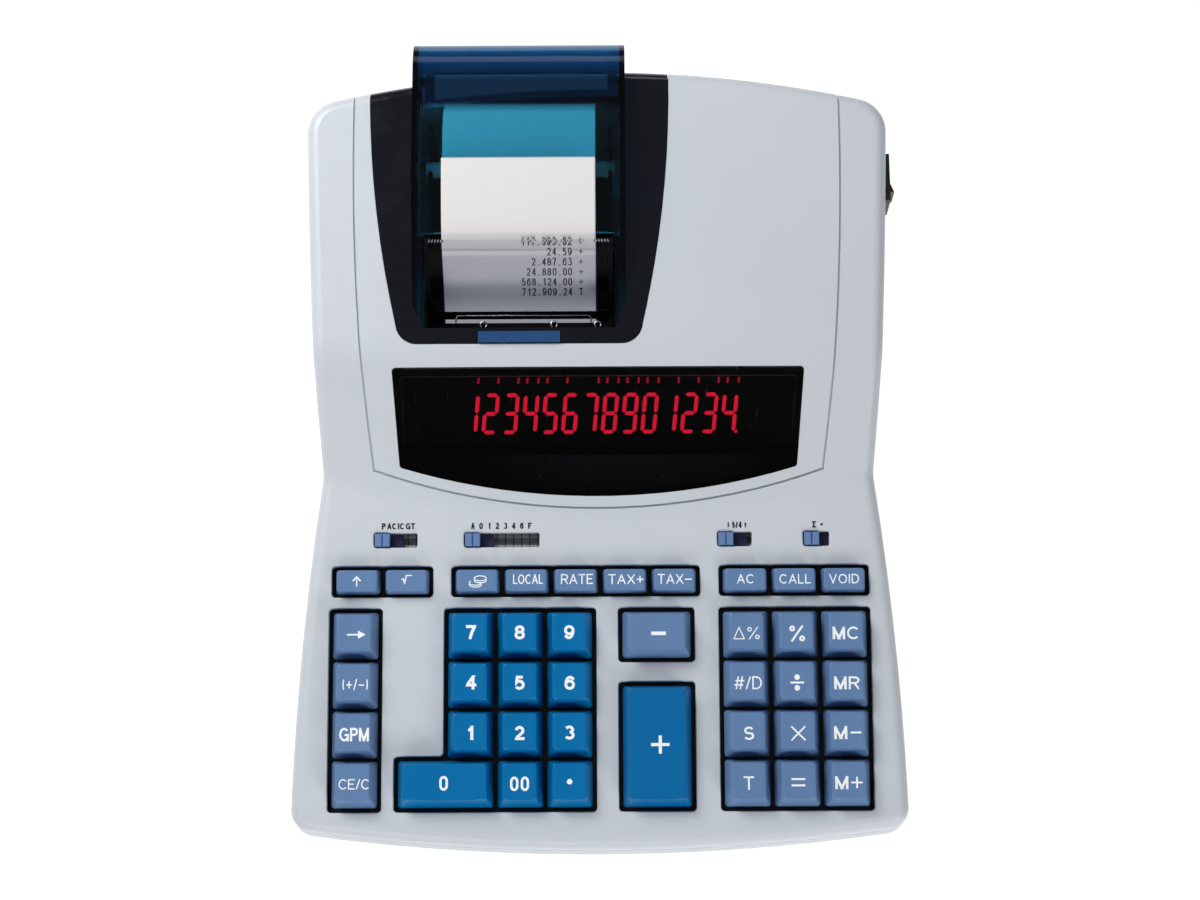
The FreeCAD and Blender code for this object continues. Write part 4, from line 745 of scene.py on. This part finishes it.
LEGENDS = {
    "feed": (up_arrow(), -0.2, -0.25),
    "root": (root_sign(), 0.1, 0.45),
    "currency": (coins(), 0.3, -0.15),
    "local": (words("LOCAL", 11.2, 3.6, 0.44, 0.14), 0.6, 0.35),
    "rate": (words("RATE", 12, 3.8, 0.45, 0.14), 0.5, 0.3),
    "tax_plus": (words("TAX+", 13.2, 3.8, 0.47, 0.16), 0.4, 0.2),
    "tax_minus": (words("TAX-", 12.8, 3.8, 0.47, 0.16), 0.2, 0.2),
    "ac": (words("AC", 6.4, 3.5, 0.45), 0, 0.1),
    "call": (words("CALL", 11.7, 3.6, 0.45), 0.1, 0),
    "void": (words("VOID", 11.2, 3.6, 0.45, 0.2), 0, 0),
    "arrow": (right_arrow(), 0.8, -0.2),
    "sign": (words("(+/-)", 9.4, 4.2, 0.45, 0.2), 0.6, -0.3),
    "margin": (words("GPM", 11, 5, 0.8, 0.1), 0.4, -0.3),
    "clear": (words("CE/C", 11.4, 3.8, 0.45, 0.12), 0.6, -0.1),
    "7": (words("7", 3.85, 5.2, 1.1), 0.4, 0.6),
    "8": (words("8", 3.85, 5.2, 1.05), 0, 0.4),
    "9": (words("9", 3.85, 5.2, 1.05), 0, 0.4),
    "4": (words("4", 4, 5.2, 1.05), 0.4, 0.3),
    "5": (words("5", 3.85, 5.2, 1.05), 0, 0.1),
    "6": (words("6", 3.85, 5.2, 1.05), 0.1, 0),
    "1": (words("1", 2.5, 5.2, 1.1), 0.1, 0.1),
    "2": (words("2", 3.7, 5.2, 1.05), 0, 0),
    "3": (words("3", 3.85, 5.2, 1.05), 0, 0.1),
    "0": (words("0", 3.2, 5.4, 0.9), -0.3, 0.1),
    "00": (words("00", 7, 5.3, 0.9), 0, -0.2),
    "point": (filled(ring_corners((0, 0), 1, 28)), 0, 0.5),
    "minus": (bar(5.4, 1.35), 0.6, -0.2),
    "plus": (plus_sign(6.8, 6.7, 1.15), 0.9, 0.2),
    "delta_percent": (delta_percent_sign(), -0.1, -0.3),
    "percent": (percent_sign(5.8, 5.9, 0.75), 0.3, -0.5),
    "memory_clear": (words("MC", 9.8, 4.7, [0.95, 0.7], 0.16), -0.1, -0.4),
    "date": (words("#/D", 10.2, 4.8, 0.52, 0.12), 0.2, -0.3),
    "divide": (divide_sign(), 0, -0.3),
    "memory_recall": (words("MR", 9.4, 4.8, [0.95, 0.72], 0.16), -0.1, -0.5),
    "subtotal": (words("S", 3.8, 4.9, 0.76), 0.3, -0.5),
    "multiply": (times_sign(2.6, 0.62), 0.1, -0.6),
    "memory_minus": (memory_sign(bar(4.0, 0.68)), -0.1, -0.4),
    "total": (words("T", 3.9, 4.9, 0.66), 0, -0.3),
    "equals": (equals_sign(), -0.2, -0.1),
    "memory_plus": (memory_sign(plus_sign(4.2, 4.2, 0.66)), -0.1, -0.3),
}
PRINT_LIFT = 0.03
PRINT_THICKNESS = 0.06


def deck_point(across, along, base):
    """A point on a plane parallel to the deck, through the base point."""
    return base + ACROSS * across * MM + DECK_ALONG * along * MM


def printed_piece(name, shape, base, material, node, body):
    """A thin printed shape that follows the node's surface."""
    surface = surface_of(node)
    corners, faces = shape
    points = [lay_on(surface, deck_point(corner.x, corner.y, base), -DECK_UP, PRINT_LIFT)
              for corner in corners]
    thicken(new_piece(name, points, faces, material, body), PRINT_THICKNESS)


def deck_middle(node):
    """The middle of a node measured square to the deck, at its top."""
    points = [vertex.co for vertex in NODES[node].data.vertices]
    spans = [[point.dot(way) for point in points] for way in (ACROSS, DECK_ALONG, DECK_UP)]
    across, along = ((min(span) + max(span)) / 2 for span in spans[:2])
    return ACROSS * across + DECK_ALONG * along + DECK_UP * max(spans[2])


def print_keys():
    for key, (shape, right, behind) in LEGENDS.items():
        node = f"key_{key}"
        base = deck_point(right, behind, deck_middle(node))
        printed_piece(f"legend_{node}", shape, base, WHITE_INK, node, node)


# Printing above the switches: shape and middle across

LABEL_DISTANCE = 5.3
LABEL_HEIGHT = 2.4
LABEL_WEIGHT = 0.56
DECIMAL_LABELS = "A012346F"
DECIMAL_START = -47.4


def label(text, width, gap=LETTER_GAP):
    return words(text, width, LABEL_HEIGHT, LABEL_WEIGHT, gap)


def small_arrow(way):
    head = [(-0.55, 0.1 * way), (0.55, 0.1 * way), (0, 1.02 * way)]
    return join_shapes([stroke([(0, -1.02 * way), (0, 0.2 * way)], 0.44), filled(head[::way])])


SWITCH_LABELS = [
    (label("P", 1.5), -81),
    (label("AC", 3.5, 0.1), -78),
    (label("IC", 2.5, 0.25), -74.5),
    (label("GT", 3.5, 0.1), -71),
    (small_arrow(-1), 48.9),
    (label("5/4", 3.7, 0.1), 52.1),
    (small_arrow(1), 55.3),
    (label("Σ", 1.6), 81.2),
    (filled(ring_corners((0, 0), 0.5, 16)), 84.1),
]
for spot, letter in enumerate(DECIMAL_LABELS):
    SWITCH_LABELS.append((label(letter, 0.95 if letter == "1" else 1.4),
                          DECIMAL_START + DECIMAL_PITCH * spot))


def deck_reference():
    """The middle of the row of switches, at the height of their knobs."""
    base = deck_middle("print_switch")
    return Vector((0, base.y, base.z))


def print_deck():
    """Short words over the slide switches."""
    shapes = [shifted(shape, across, LABEL_DISTANCE) for shape, across in SWITCH_LABELS]
    printed_piece("switch_printing", join_shapes(shapes), deck_reference(), BLACK_INK,
                  "top_case", "case")


# Display: fourteen figures of seven segments on the tube's face

DISPLAY_ALONG, DISPLAY_UP = tilted(math.radians(27))
FIGURE_TEXT = "12345678901234"
FIGURE_PITCH = 7.53
FIGURE_WIDTH = 5.9
FIGURE_HEIGHT = 15.7
FIGURE_SLANT = 0.09
FIGURE_LAST = 52.6
FIGURE_OFFSET = Vector((0, 4.8, 2.45)) * MM
SEGMENT_WIDTH = 1.45
SEGMENT_GAP = 0.18
# Where the painted reflections of the figures' side segments lie on the lip
REFLECTION_LOW, REFLECTION_HIGH = 12.45, 14.6
REFLECTION_WIDTH, REFLECTION_SIDE = 0.8, 2.1
POINT_RADIUS = SEGMENT_WIDTH / 2.4
POINT_AFTER = 0.3
FIGURE_LIFT = 0.06
FIGURE_THICKNESS = 0.05
FACE_RAY_START = 40
SEGMENT_ENDS = {"a": ((-1, 1), (1, 1)), "b": ((1, 0), (1, 1)), "c": ((1, -1), (1, 0)),
                "d": ((-1, -1), (1, -1)), "e": ((-1, -1), (-1, 0)), "f": ((-1, 0), (-1, 1)),
                "g": ((-1, 0), (1, 0))}
SEGMENTS_OF = {"0": "abcdef", "1": "bc", "2": "abged", "3": "abgcd", "4": "fgbc", "5": "afgcd",
               "6": "afgcde", "7": "abc", "8": "abcdefg", "9": "abcdfg"}


def segment(start, end):
    """A bar between two points, pointed at both ends."""
    first, last = Vector(start), Vector(end)
    way = (last - first).normalized()
    first, last = first + way * SEGMENT_GAP, last - way * SEGMENT_GAP
    side = Vector((-way.y, way.x)) * SEGMENT_WIDTH / 2
    slope = way * SEGMENT_WIDTH / 2
    return filled([first, first + slope - side, last - slope - side, last, last - slope + side,
                   first + slope + side])


def figure_segments():
    half, top = (FIGURE_WIDTH - SEGMENT_WIDTH) / 2, (FIGURE_HEIGHT - SEGMENT_WIDTH) / 2
    return {letter: segment(*[(across * half, along * top) for across, along in ends])
            for letter, ends in SEGMENT_ENDS.items()}


def display_face(surface):
    """A point on the tube's face, met by a line from outside the window."""
    start = middle("display_window") + DISPLAY_UP * FACE_RAY_START * MM
    return surface.ray_cast(start, -DISPLAY_UP)[0]


def figure_piece(name, shape, base, surface, material):
    """Flat shapes laid on the tube or on the lip round it, leaning to the right."""
    corners, faces = shape
    points = [base + ACROSS * (corner.x + corner.y * FIGURE_SLANT) * MM
              + DISPLAY_ALONG * corner.y * MM for corner in corners]
    points = [lay_on(surface, point, -DISPLAY_UP, FIGURE_LIFT) for point in points]
    thicken(new_piece(name, points, faces, material), FIGURE_THICKNESS)


def light_display():
    """The figures with their decimal point, and painted reflections of them: dim glowing marks above them on the
    lip.
    """
    parts = figure_segments()
    surface = surface_of("display_module")
    figure_middle = middle("display_window") + FIGURE_OFFSET
    figure_middle.x = 0
    base = figure_middle + DISPLAY_UP * (display_face(surface) - figure_middle).dot(DISPLAY_UP)
    shapes, marks = [], []
    for left, figure in zip(reversed(range(len(FIGURE_TEXT))), FIGURE_TEXT):
        across = FIGURE_LAST - FIGURE_WIDTH / 2 - left * FIGURE_PITCH
        lit = SEGMENTS_OF[figure]
        shapes += [shifted(parts[letter], across, 0) for letter in lit]
        sides = [across + side for letter, side in (("f", -REFLECTION_SIDE), ("b", REFLECTION_SIDE))
                 if letter in lit]
        marks += [stroke([(side, REFLECTION_LOW), (side, REFLECTION_HIGH)], REFLECTION_WIDTH) for side in sides]
    point = (FIGURE_LAST + POINT_AFTER, -FIGURE_HEIGHT / 2 + SEGMENT_WIDTH / 2)
    shapes.append(filled(ring_corners(point, POINT_RADIUS, 16)))
    figure_piece("display_figures", join_shapes(shapes), base, surface, LIT)
    figure_piece("figure_painted_reflection", join_shapes(marks), base, surface, PAINTED_REFLECTION)


# Paper tape, from under the roll round the platen and out over the cover

PLATEN = joint_place("platen_roller_spin") / MM
PLATEN.x = 0
TAPE_CENTRE = joint_place("platen_roller_spin").x / MM
EXIT_RISING, EXIT_OUTWARD = tilted(math.radians(56.3))
PAPER_GAP = 0.475
TAPE_WIDTH = 57.5
TAPE_THICKNESS = 0.12
STRIP_LIFT = 1
BEND_RADIUS = 20
CROWN_RADIUS = 98.4
CROWN_DROP = 98.4
CROWN_AHEAD = 31.5
TAPE_END = 98.1
PLATEN_STEPS, RISE_STEPS, BEND_STEPS, CROWN_STEPS = 16, 12, 10, 14
TOOTH_PITCH = 1.12
TOOTH_HEIGHT = 0.55
TAPE_LINES = [("117.393.62", "+"), ("24.59", "+"), ("2.487.63", "+"), ("24.880.00", "+"),
              ("568.124.00", "+"), ("712.909.24", "T")]
TAPE_LINE_START = 36.1
TAPE_LINE_PITCH = 4.63
TAPE_LETTER_PITCH = 1.95
TAPE_LETTER_WIDTH = 1.5
TAPE_LETTER_HEIGHT = 3.5
TAPE_LETTER_WEIGHT = 0.45
TAPE_LAST_FIGURE = -10.3
TAPE_SIGN_PLACE = -6.2
NARROW_ONE = 0.6
TAPE_PRINT_LIFT = 0.03
TAPE_PRINT_THICKNESS = 0.02


def exit_point(x, along, out):
    """A point by its place along the paper's way out and in front of the platen's axis."""
    return (PLATEN + ACROSS * x + EXIT_RISING * along + EXIT_OUTWARD * out) * MM


def arc_points(centre, start, end, count):
    """Points from start to end round the centre, in the plane across X."""
    first, last = start - centre, end - centre
    turn = math.atan2(last.z, last.y) - math.atan2(first.z, first.y)
    turn = (turn + math.pi) % (2 * math.pi) - math.pi
    return [centre + Matrix.Rotation(turn * step / count, 3, "X") @ first
            for step in range(1, count + 1)]


def tape_line():
    """The tape's centre line in millimetres: the part up to where it bends, and the rest."""
    roll = joint_place("paper_roll_spin") / MM
    roll.x = 0
    roll_low, roll_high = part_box("paper_roll")
    roll_reach = (roll_high.z - roll_low.z) / 2 / MM + PAPER_GAP
    rim = [vertex.co / MM - PLATEN for vertex in NODES["platen_roller"].data.vertices]
    platen_reach = max(math.hypot(point.y, point.z) for point in rim) + PAPER_GAP
    across = PLATEN - roll
    along = across.normalized()
    down = Vector((0, -along.z, along.y))
    if down.z > 0:
        down.negate()
    lean = math.acos((roll_reach - platen_reach) / across.length)
    normal = along * math.cos(lean) + down * math.sin(lean)
    off_roll, on_platen = roll + normal * roll_reach, PLATEN + normal * platen_reach
    off_platen = PLATEN + EXIT_OUTWARD * platen_reach
    crown = Vector((0, joint_place("cover_hinge").y / MM - CROWN_AHEAD,
                    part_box("printer_cover")[1].z / MM - CROWN_DROP))
    crown_reach = CROWN_RADIUS + STRIP_LIFT
    base = off_platen - EXIT_OUTWARD * BEND_RADIUS - crown
    half_b, rest = base.dot(EXIT_RISING), base.dot(base) - (crown_reach - BEND_RADIUS) ** 2
    root = math.sqrt(half_b ** 2 - rest)
    run = min(length for length in (-half_b + root, -half_b - root) if length > 0)
    bend_start = off_platen + EXIT_RISING * run
    bend_centre = bend_start - EXIT_OUTWARD * BEND_RADIUS
    on_crown = crown + (bend_centre - crown).normalized() * crown_reach
    height = math.sqrt(crown_reach ** 2 - (TAPE_END - crown.y) ** 2)
    end = Vector((0, TAPE_END, crown.z + height))
    lower = [off_roll, on_platen] + arc_points(PLATEN, on_platen, off_platen, PLATEN_STEPS)
    lower += [off_platen.lerp(bend_start, step / RISE_STEPS) for step in range(1, RISE_STEPS + 1)]
    upper = [bend_start] + arc_points(bend_centre, bend_start, on_crown, BEND_STEPS)
    return lower, upper + arc_points(crown, on_crown, end, CROWN_STEPS)


def tape_piece(name, line, torn):
    """A sheet along the line; a torn end has the teeth that the bar left in it."""
    columns = 2 * round(TAPE_WIDTH / TOOTH_PITCH)
    points, faces = [], []
    for number, point in enumerate(line):
        for column in range(columns + 1):
            x = TAPE_CENTRE - TAPE_WIDTH / 2 + TAPE_WIDTH * column / columns
            spot = Vector((x, point.y, point.z))
            if torn and number == len(line) - 1 and column % 2:
                spot += (point - line[number - 1]).normalized() * TOOTH_HEIGHT
            points.append(spot * MM)
    for row in range(len(line) - 1):
        for column in range(columns):
            corner = row * (columns + 1) + column
            faces.append([corner, corner + 1, corner + columns + 2, corner + columns + 1])
    piece = new_piece(name, points, faces, PAPER)
    for face in piece.data.polygons:
        face.use_smooth = True
    tidy_normals(piece)
    thicken(piece, TAPE_THICKNESS, 0)
    bpy.context.view_layer.update()
    solid = piece.evaluated_get(bpy.context.evaluated_depsgraph_get())
    piece.data = bpy.data.meshes.new_from_object(solid)
    piece.modifiers.clear()
    return piece


def build_tape():
    """Both parts of the tape, and how far the lower one lies in front of the platen's axis."""
    lower, upper = tape_line()
    strip = tape_piece("tape_lower", lower, False)
    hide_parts("paper_strip")
    end = tape_piece("tape_upper", upper, True)
    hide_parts("paper_strip")
    anchor = upper[0] * MM
    anchor.x = TAPE_CENTRE * MM
    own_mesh(end)
    return (lower[-1] - PLATEN).dot(EXIT_OUTWARD)


def tape_letter(letter):
    if letter == ".":
        half = 0.25
        point = filled([(-half, -half), (half, -half), (half, half), (-half, half)])
        return shifted(point, 0, half - TAPE_LETTER_HEIGHT / 2)
    if letter == "+":
        return plus_sign(1.75, 2.3, 0.32)
    width = TAPE_LETTER_WIDTH * (NARROW_ONE if letter == "1" else 1)
    return words(letter, width, TAPE_LETTER_HEIGHT, TAPE_LETTER_WEIGHT)


def print_tape(level):
    """Rows of figures on the tape, which lies at the level in front of the platen's axis."""
    shapes = []
    for row, (figures, sign) in enumerate(TAPE_LINES):
        along = TAPE_LINE_START - row * TAPE_LINE_PITCH
        for place, letter in enumerate(reversed(figures)):
            across = TAPE_LAST_FIGURE - place * TAPE_LETTER_PITCH
            shapes.append(shifted(tape_letter(letter), across, along))
        shapes.append(shifted(tape_letter(sign), TAPE_SIGN_PLACE, along))
    corners, faces = join_shapes(shapes)
    reach = level + TAPE_THICKNESS / 2 + TAPE_PRINT_LIFT
    points = [exit_point(corner.x, corner.y, reach) for corner in corners]
    piece = new_piece("tape_printing", points, faces, TAPE_INK)
    thicken(piece, TAPE_PRINT_THICKNESS)


# Guide, wire and clips at the paper's way out

GUIDE_LOW, GUIDE_HIGH = 0.4, 4.7
GUIDE_OUT = 7.8
GUIDE_HALF = 29.6
GUIDE_THICKNESS = 0.4
GUIDE_STEPS = 90
GUIDE_UNEVEN = 0.22
GUIDE_WAVES = (1.7, 0.61, 0.23)
WIRE_ENDS = (-54, -2.5)
WIRE_BEND = 0.7
WIRE_FOOT, WIRE_SHOULDER, WIRE_TOP = (46.0, 50.1), (48.2, 50.6), (49.2, 50.8)
WIRE_RADIUS = 0.3
CLIP_SPOTS = (-43.5, -16.65, 0.1)
CLIP_MIDDLE = Vector((0, 45.6, 50.5))
CLIP_REACH = Vector((1.2, 1.1, 0.3))
CLIP_ANGLES = range(-60, 241, 30)
CLIP_RADIUS = 0.38
# A direction that no wire follows, from which its corners are counted
ASKEW = Vector((0.3, 0.2, 1))


def tube(name, line, radius):
    """A bright round wire along the line, with closed ends."""
    count = 12
    points, faces = [], []
    for number, spot in enumerate(line):
        way = (line[min(number + 1, len(line) - 1)] - line[max(number - 1, 0)]).normalized()
        side = way.cross(ASKEW).normalized()
        for step in range(count):
            turn = Matrix.Rotation(2 * math.pi * step / count, 3, way)
            points.append(spot + turn @ side * radius * MM)
    for row in range(len(line) - 1):
        for step in range(count):
            corner, follow = row * count + step, row * count + (step + 1) % count
            faces.append([corner, follow, follow + count, corner + count])
    last = (len(line) - 1) * count
    faces += [list(range(count))[::-1], [last + step for step in range(count)]]
    piece = new_piece(name, points, faces, BRIGHT_STEEL)
    tidy_normals(piece)
    for face in piece.data.polygons:
        face.use_smooth = len(face.vertices) == 4


def build_guide():
    """The dark guide before the paper, with a slightly uneven upper edge."""
    points = []
    for step in range(GUIDE_STEPS + 1):
        x = TAPE_CENTRE - GUIDE_HALF + 2 * GUIDE_HALF * step / GUIDE_STEPS
        wave = math.prod(math.sin(step * rate) for rate in GUIDE_WAVES)
        for height in (GUIDE_LOW, GUIDE_HIGH + GUIDE_UNEVEN * wave):
            points.append(exit_point(x, height, GUIDE_OUT))
    faces = [[2 * step + corner for corner in (0, 2, 3, 1)] for step in range(GUIDE_STEPS)]
    guide = new_piece("paper_guide", points, faces, MATERIALS["steel"])
    thicken(guide, GUIDE_THICKNESS, 1)


def build_wires():
    """The bright wire in front of the guide, and the clips that hold it."""
    left, right = WIRE_ENDS
    bends = [(left, *WIRE_FOOT), (left, *WIRE_SHOULDER), (left + WIRE_BEND, *WIRE_TOP),
             (right - WIRE_BEND, *WIRE_TOP), (right, *WIRE_SHOULDER), (right, *WIRE_FOOT)]
    tube("guide_wire", [Vector(bend) * MM for bend in bends], WIRE_RADIUS)
    for number, x in enumerate(CLIP_SPOTS):
        loop = []
        for turn in map(math.radians, CLIP_ANGLES):
            way = Vector((math.cos(turn), math.sin(turn), math.sin(turn)))
            loop.append((CLIP_MIDDLE + ACROSS * x + way * CLIP_REACH) * MM)
        tube(f"wire_clip_{number}", loop, CLIP_RADIUS)


# Finish of single nodes

KNOB_RISE = 0.9
NEAR_PANE = 4
FACE_LIFT = 0.01
SCREW_LEVEL = 5.6
MAT_DEPTH = 15.5
BODY_DEPTH = 10.5
BODY_HALF = 9
SLIDE_DEPTH = 3.2
TAB_HALF = 15.4
TAB_REAR = 37
WING_TOP = 80
HOOD_HALF = 40
EXIT_FRONT = 38.3
SWITCHES = ("print", "decimal", "rounding", "total")

# Least upward share of the normals of faces that look up, and of the wings
LOOKS_UP, WING_SLOPE = 0.5, 0.3


def over_deck(point):
    """How far a point stands above the deck's plane, in millimetres."""
    base = deck_reference() - DECK_UP * KNOB_RISE * MM
    return (point - base).dot(DECK_UP) / MM


def lies_under(panes, centre, normal):
    """Whether a face that looks up has a pane right above it."""
    start = centre + Vector((0, 0, FACE_LIFT * MM))
    hit, _, _, distance = panes.ray_cast(start, Vector((0, 0, 1)))
    return normal.z > LOOKS_UP and hit is not None and distance < NEAR_PANE * MM


def dress_board():
    """The rubber mat, and the grey floors of the slide switches in their row."""
    row = deck_reference().y
    dress_part("key_board", MATERIALS["rubber"],
               lambda centre, normal: over_deck(centre) > -MAT_DEPTH)
    dress_part("key_board", SLOT_FLOOR, lambda centre, normal: (
        over_deck(centre) > -BODY_DEPTH and abs(centre.y - row) < BODY_HALF * MM))


def dress_cover():
    """The dull wings beside and before the hood, drawn opaque and near black as painted shade of the dark space
    under the clear cover, and the tab at the front.
    """
    centre_line = middle("paper_roll").x

    def on_wing(centre, normal):
        beside = abs(centre.x - centre_line) > HOOD_HALF * MM or centre.y < EXIT_FRONT * MM
        return beside and normal.z > WING_SLOPE and centre.z < WING_TOP * MM

    def on_tab(centre, normal):
        inside = abs(centre.x - centre_line) < TAB_HALF * MM and centre.y < TAB_REAR * MM
        return inside and normal.z > LOOKS_UP

    dress_part("printer_cover", WING_PAINTED_SHADE, on_wing)
    dress_part("printer_cover", TAB_PLASTIC, on_tab)


def dress_details():
    dress_nodes()
    dress_part("feet_and_screws", BRIGHT_STEEL,
               lambda centre, normal: centre.z > SCREW_LEVEL * MM)
    dress_board()
    for switch in SWITCHES:
        dress_part(f"{switch}_switch", PLATE_PLASTIC,
                   lambda centre, normal: over_deck(centre) < -SLIDE_DEPTH)
    # Painted shade: case faces that look up right under the cover or the window are drawn matt black for the dark
    # space under the panes
    panes = surface_of("printer_cover", "display_window")
    dress_part("top_case", MATERIALS["display"],
               lambda centre, normal: lies_under(panes, centre, normal))
    dress_cover()


# Floor, light and camera

FLOOR_GREY = (0.82, 0.82, 0.82)
FLOOR_GLOW = 1.2
FLOOR_SHARE = 0.8
FLOOR_SIZE = 12.0  # metres
FLOOR_DROP = 0.2
ROOM_COLOUR = (0.96, 0.98, 1)
WORLD_LEVEL = 0.15

# Place, width and height in metres, and power in watts; all lamps look at one place
LAMP_TARGET = Vector((0, 0, 0.03))
LAMPS = {
    "main_lamp": ((-0.75, 0.5, 0.8), 0.8, 0.6, 4.1),
    "near_lamp": ((-0.45, 0.45, 0.75), 0.35, 0.35, 5.0),
    "front_lamp": ((-0.3, -1.25, 0.42), 0.9, 0.3, 5.5),
    "front_right_lamp": ((0.8, -1.1, 0.5), 0.5, 0.5, 7.8),
    "rear_lamp": ((0.15, 1.2, 0.9), 0.8, 0.5, 2.0),
}

# The camera as solved from the photograph; the focal length and the width are in its pixels
CAMERA_PLACE = Vector((0.65, -288.88, 980.91)) * MM
CAMERA_ELEVATION = math.radians(73)
CAMERA_ROLL = math.radians(0.27)
FOCAL_PIXELS = 2593
PICTURE_WIDTH = 1200
SENSOR_WIDTH = 36
CLIP_NEAR, CLIP_FAR = 0.05, 20  # metres


def build_floor():
    """A floor that looks white by a glow of its own, which doesn't light the part."""
    bpy.ops.mesh.primitive_plane_add(size=FLOOR_SIZE, location=(0, 0, -FLOOR_DROP * MM))
    floor = bpy.context.object
    floor.name = "floor"
    material, shader = new_material("floor", FLOOR_GREY, 0.9)
    path = add_node(material, "ShaderNodeLightPath")
    seen = arithmetic(material, "ADD", path.outputs["Is Camera Ray"],
                      path.outputs["Is Glossy Ray"])
    seen = arithmetic(material, "ADD", seen, path.outputs["Is Transmission Ray"], clamp=True)
    share = arithmetic(material, "MULTIPLY", seen, FLOOR_SHARE)
    glow = add_node(material, "ShaderNodeEmission", Color=(1, 1, 1, 1), Strength=FLOOR_GLOW)
    show_mix(material, share, shader, glow)
    floor.data.materials.append(material)


def build_light():
    world = bpy.data.worlds.new("room")
    world.use_nodes = True
    background = world.node_tree.nodes["Background"]
    background.inputs["Color"].default_value = (*ROOM_COLOUR, 1)
    background.inputs["Strength"].default_value = WORLD_LEVEL
    SCENE.world = world
    for name, (place, width, height, power) in LAMPS.items():
        data = bpy.data.lights.new(name, "AREA")
        data.shape = "RECTANGLE"
        data.size, data.size_y = width, height
        data.energy = power
        lamp = bpy.data.objects.new(name, data)
        lamp.location = place
        lamp.rotation_euler = (LAMP_TARGET - Vector(place)).to_track_quat("-Z", "Y").to_euler()
        SCENE.collection.objects.link(lamp)


def build_camera():
    data = bpy.data.cameras.new("camera")
    data.sensor_width = SENSOR_WIDTH
    data.lens = FOCAL_PIXELS * SENSOR_WIDTH / PICTURE_WIDTH
    data.clip_start, data.clip_end = CLIP_NEAR, CLIP_FAR
    camera = bpy.data.objects.new("camera", data)
    SCENE.collection.objects.link(camera)
    look, upward = tilted(-CAMERA_ELEVATION)
    right = ACROSS * math.cos(CAMERA_ROLL) - upward * math.sin(CAMERA_ROLL)
    top = ACROSS * math.sin(CAMERA_ROLL) + upward * math.cos(CAMERA_ROLL)
    turn = Matrix((right, top, -look)).transposed()
    camera.matrix_world = Matrix.Translation(CAMERA_PLACE) @ turn.to_4x4()
    SCENE.camera = camera


build_camera()
dress_details()
print_keys()
print_deck()
light_display()
print_tape(build_tape())
build_guide()
build_wires()
build_floor()
build_light()
SCENE.view_settings.view_transform = "Standard"
